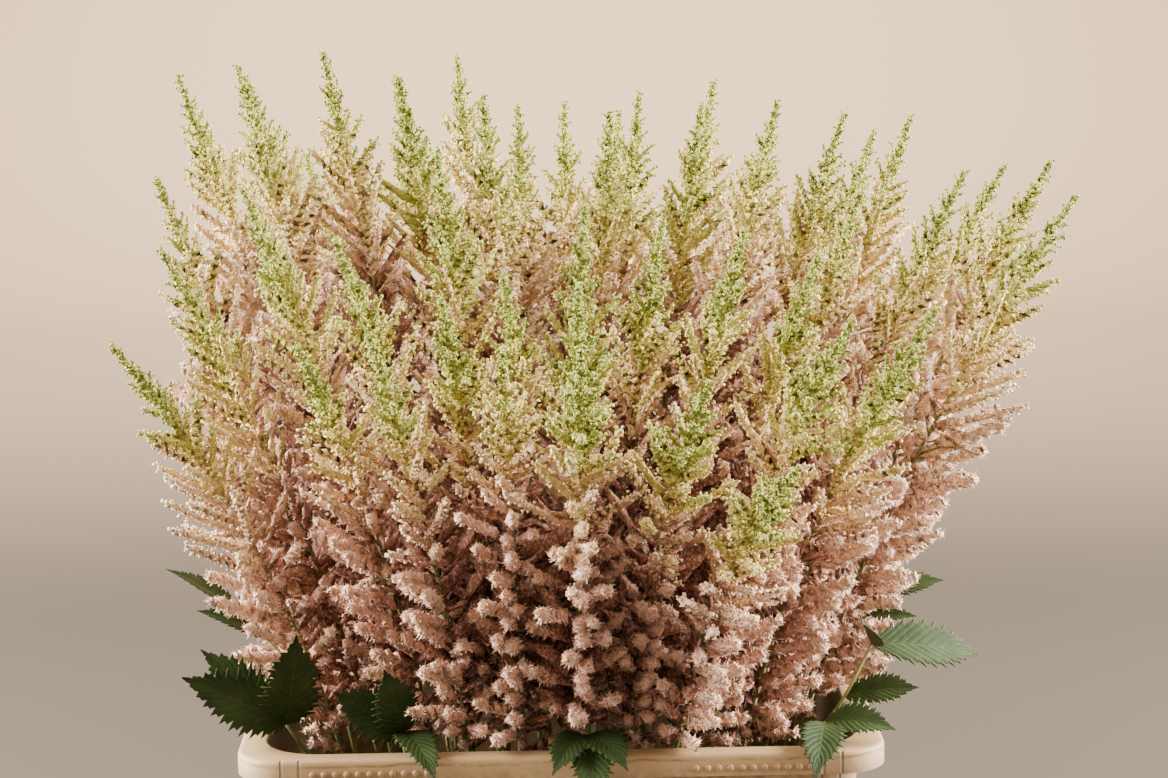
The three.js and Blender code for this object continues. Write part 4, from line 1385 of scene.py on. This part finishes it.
def paper_piece(material):
    """A sheet that lies under the bunch and is bent up behind it."""
    wide, back, high, curve = PAPER
    turn = np.linspace(0, math.pi / 2, 13)
    bend = zip(back - curve + curve * np.sin(turn), curve - curve * np.cos(turn))
    line = [(-wide, 0), *bend, (back, high)]
    points = [(x, y, z) for y, z in line for x in (-wide, wide)]
    faces = [(2 * k, 2 * k + 1, 2 * k + 3, 2 * k + 2) for k in range(len(line) - 1)]
    return mesh_piece("stage_paper_sheet", points, faces, material, True)


def room_light(color, strength):
    """A world that lights evenly from all round."""
    world = bpy.data.worlds.new("room")
    world.use_nodes = True
    background = world.node_tree.nodes["Background"]
    background.inputs["Color"].default_value = (*color, 1)
    background.inputs["Strength"].default_value = strength
    return world


def hang_lamp(name, power, size, place, target):
    """A square lamp that is aimed at a target."""
    lamp = bpy.data.lights.new(name, "AREA")
    lamp.energy, lamp.size, lamp.color = power, size, LAMP_COLOR
    made = bpy.data.objects.new(name, lamp)
    turn = (Vector(target) - Vector(place)).to_track_quat("-Z", "Y")
    made.matrix_world = Matrix.Translation(place) @ turn.to_matrix().to_4x4()
    bpy.context.scene.collection.objects.link(made)


def camera_matrix(place, yaw, pitch, roll):
    """The matrix of a camera that looks along +Y before it is turned, in degrees."""
    yaw, pitch, roll = (math.radians(angle) for angle in (yaw, pitch, roll))
    forward = Vector((math.sin(yaw) * math.cos(pitch), math.cos(yaw) * math.cos(pitch),
                      -math.sin(pitch)))
    right = Vector((math.cos(yaw), -math.sin(yaw), 0))
    up = right.cross(forward)
    right, up = (right * math.cos(roll) + up * math.sin(roll),
                 up * math.cos(roll) - right * math.sin(roll))
    return Matrix.Translation(place) @ Matrix((right, up, -forward)).transposed().to_4x4()


# ---------------------------------------------------------------- settings and operators


class PlumeSettings(bpy.types.PropertyGroup):
    petal: FloatProperty(name="Petal", description="Length of the open flowers' petals",
                         default=0.003, min=0.0005, max=0.006, subtype="DISTANCE", unit="LENGTH")
    lean: FloatProperty(name="Lean", description="How far petals lean to the end of a branch",
                        default=0.25, min=0, max=2)
    fringe: FloatProperty(name="Fringe", description="Petals on a square metre of open flowers",
                          default=150000, min=0)
    bud: FloatProperty(name="Bud", description="Radius of a bud", default=0.0012, min=0.0003,
                       max=0.003, subtype="DISTANCE", unit="LENGTH")


class StageSettings(bpy.types.PropertyGroup):
    backdrop: FloatVectorProperty(name="Backdrop", description="Colour of the room", size=3,
                                  default=(0.94, 0.735, 0.53), subtype="COLOR", min=0, max=1)
    top: FloatProperty(name="Top light", description="Power of the lamp overhead", default=68.0,
                       min=0, subtype="POWER", unit="POWER")
    side: FloatProperty(name="Side lights", description="Power of the lamp on each side",
                        default=600.0, min=0, subtype="POWER", unit="POWER")
    back: FloatProperty(name="Backdrop light", description="Power of the lamp on the backdrop",
                        default=40.0, min=0, subtype="POWER", unit="POWER")
    fill: FloatProperty(name="Fill", description="Brightness of the room", default=0.92, min=0)


class ASTILBE_OT_plumes(bpy.types.Operator):
    """Grow a feathery plume on every stem"""

    bl_idname = "astilbe.plumes"
    bl_label = "Plumes"
    bl_options = {"REGISTER", "UNDO"}

    def execute(self, context):
        settings = context.scene.astilbe_plumes
        flowers, stalks = flower_material(), stalk_material()
        leaves = leaf_tree()
        branches = [grow(stem, leaves) for stem in STEMS]
        measure_light(branches)
        group = plume_nodes()
        for stem, own in zip(STEMS, branches):
            node = f"plume_{stem.number + 1:02d}"
            piece = plume_skeleton(stem, own).piece(f"{node}_fine")
            GeometryTree.apply(group, piece, {
                "Petal": settings.petal, "Lean": settings.lean,
                "Fringe": settings.fringe, "Bud Size": settings.bud,
                "Seed": stem.number, "Flowers": flowers, "Stalks": stalks})
            settle(piece, node)
        return {"FINISHED"}


class ASTILBE_OT_leaves(bpy.types.Operator):
    """Make the toothed leaves"""

    bl_idname = "astilbe.leaves"
    bl_label = "Leaves"
    bl_options = {"REGISTER", "UNDO"}

    def execute(self, context):
        blade, petiole = leaf_material(), petiole_material()
        for number, (name, leaf) in enumerate(LEAVES.items()):
            piece = leaf_piece(f"leaf_{name}_fine", leaf, number, blade, petiole)
            settle(piece, f"leaf_{name}")
        return {"FINISHED"}


class ASTILBE_OT_crate(bpy.types.Operator):
    """Make the crate and tint its water"""

    bl_idname = "astilbe.crate"
    bl_label = "Crate"
    bl_options = {"REGISTER", "UNDO"}

    def execute(self, context):
        plastic = crate_material()
        settle(crate_piece(plastic), "crate")
        settle(bead_piece(plastic), "crate")
        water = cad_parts["water"]
        water.data.materials.clear()
        water.data.materials.append(water_material())
        return {"FINISHED"}


class ASTILBE_OT_stage(bpy.types.Operator):
    """Set the floor, the room, the lamps and the camera"""

    bl_idname = "astilbe.stage"
    bl_label = "Stage"
    bl_options = {"REGISTER", "UNDO"}

    def execute(self, context):
        scene = context.scene
        settings = scene.astilbe_stage
        color = tuple(settings.backdrop)
        paper = paper_piece(paper_material(color))
        scene.world = room_light(color, settings.fill)
        for name, setting, size, place, target in LAMPS:
            hang_lamp(name, getattr(settings, setting), size, place, target)
        camera = bpy.data.cameras.new("camera")
        camera.lens, camera.sensor_width = LENS, 36
        scene.camera = bpy.data.objects.new("camera", camera)
        scene.camera.matrix_world = camera_matrix(*CAMERA)
        scene.collection.objects.link(scene.camera)
        return {"FINISHED"}


class ASTILBE_PT_panel(bpy.types.Panel):
    """The settings and steps of the bunch"""

    bl_label = "Astilbe"
    bl_idname = "ASTILBE_PT_panel"
    bl_space_type = "VIEW_3D"
    bl_region_type = "UI"
    bl_category = "Astilbe"

    def draw(self, context):
        for name in ("astilbe_plumes", "astilbe_stage"):
            settings = getattr(context.scene, name)
            box = self.layout.box()
            for key in settings.__annotations__:
                box.prop(settings, key)
        for operator in OPERATORS:
            self.layout.operator(operator.bl_idname)


OPERATORS = (ASTILBE_OT_plumes, ASTILBE_OT_leaves, ASTILBE_OT_crate, ASTILBE_OT_stage)
CLASSES = (PlumeSettings, StageSettings, *OPERATORS, ASTILBE_PT_panel)


def register():
    for cls in CLASSES:
        bpy.utils.register_class(cls)
    bpy.types.Scene.astilbe_plumes = PointerProperty(type=PlumeSettings)
    bpy.types.Scene.astilbe_stage = PointerProperty(type=StageSettings)


def unregister():
    del bpy.types.Scene.astilbe_stage
    del bpy.types.Scene.astilbe_plumes
    for cls in reversed(CLASSES):
        bpy.utils.unregister_class(cls)


def main():
    register()
    bpy.ops.astilbe.plumes()
    bpy.ops.astilbe.leaves()
    bpy.ops.astilbe.crate()
    bpy.ops.astilbe.stage()


if __name__ == "__main__":
    main()
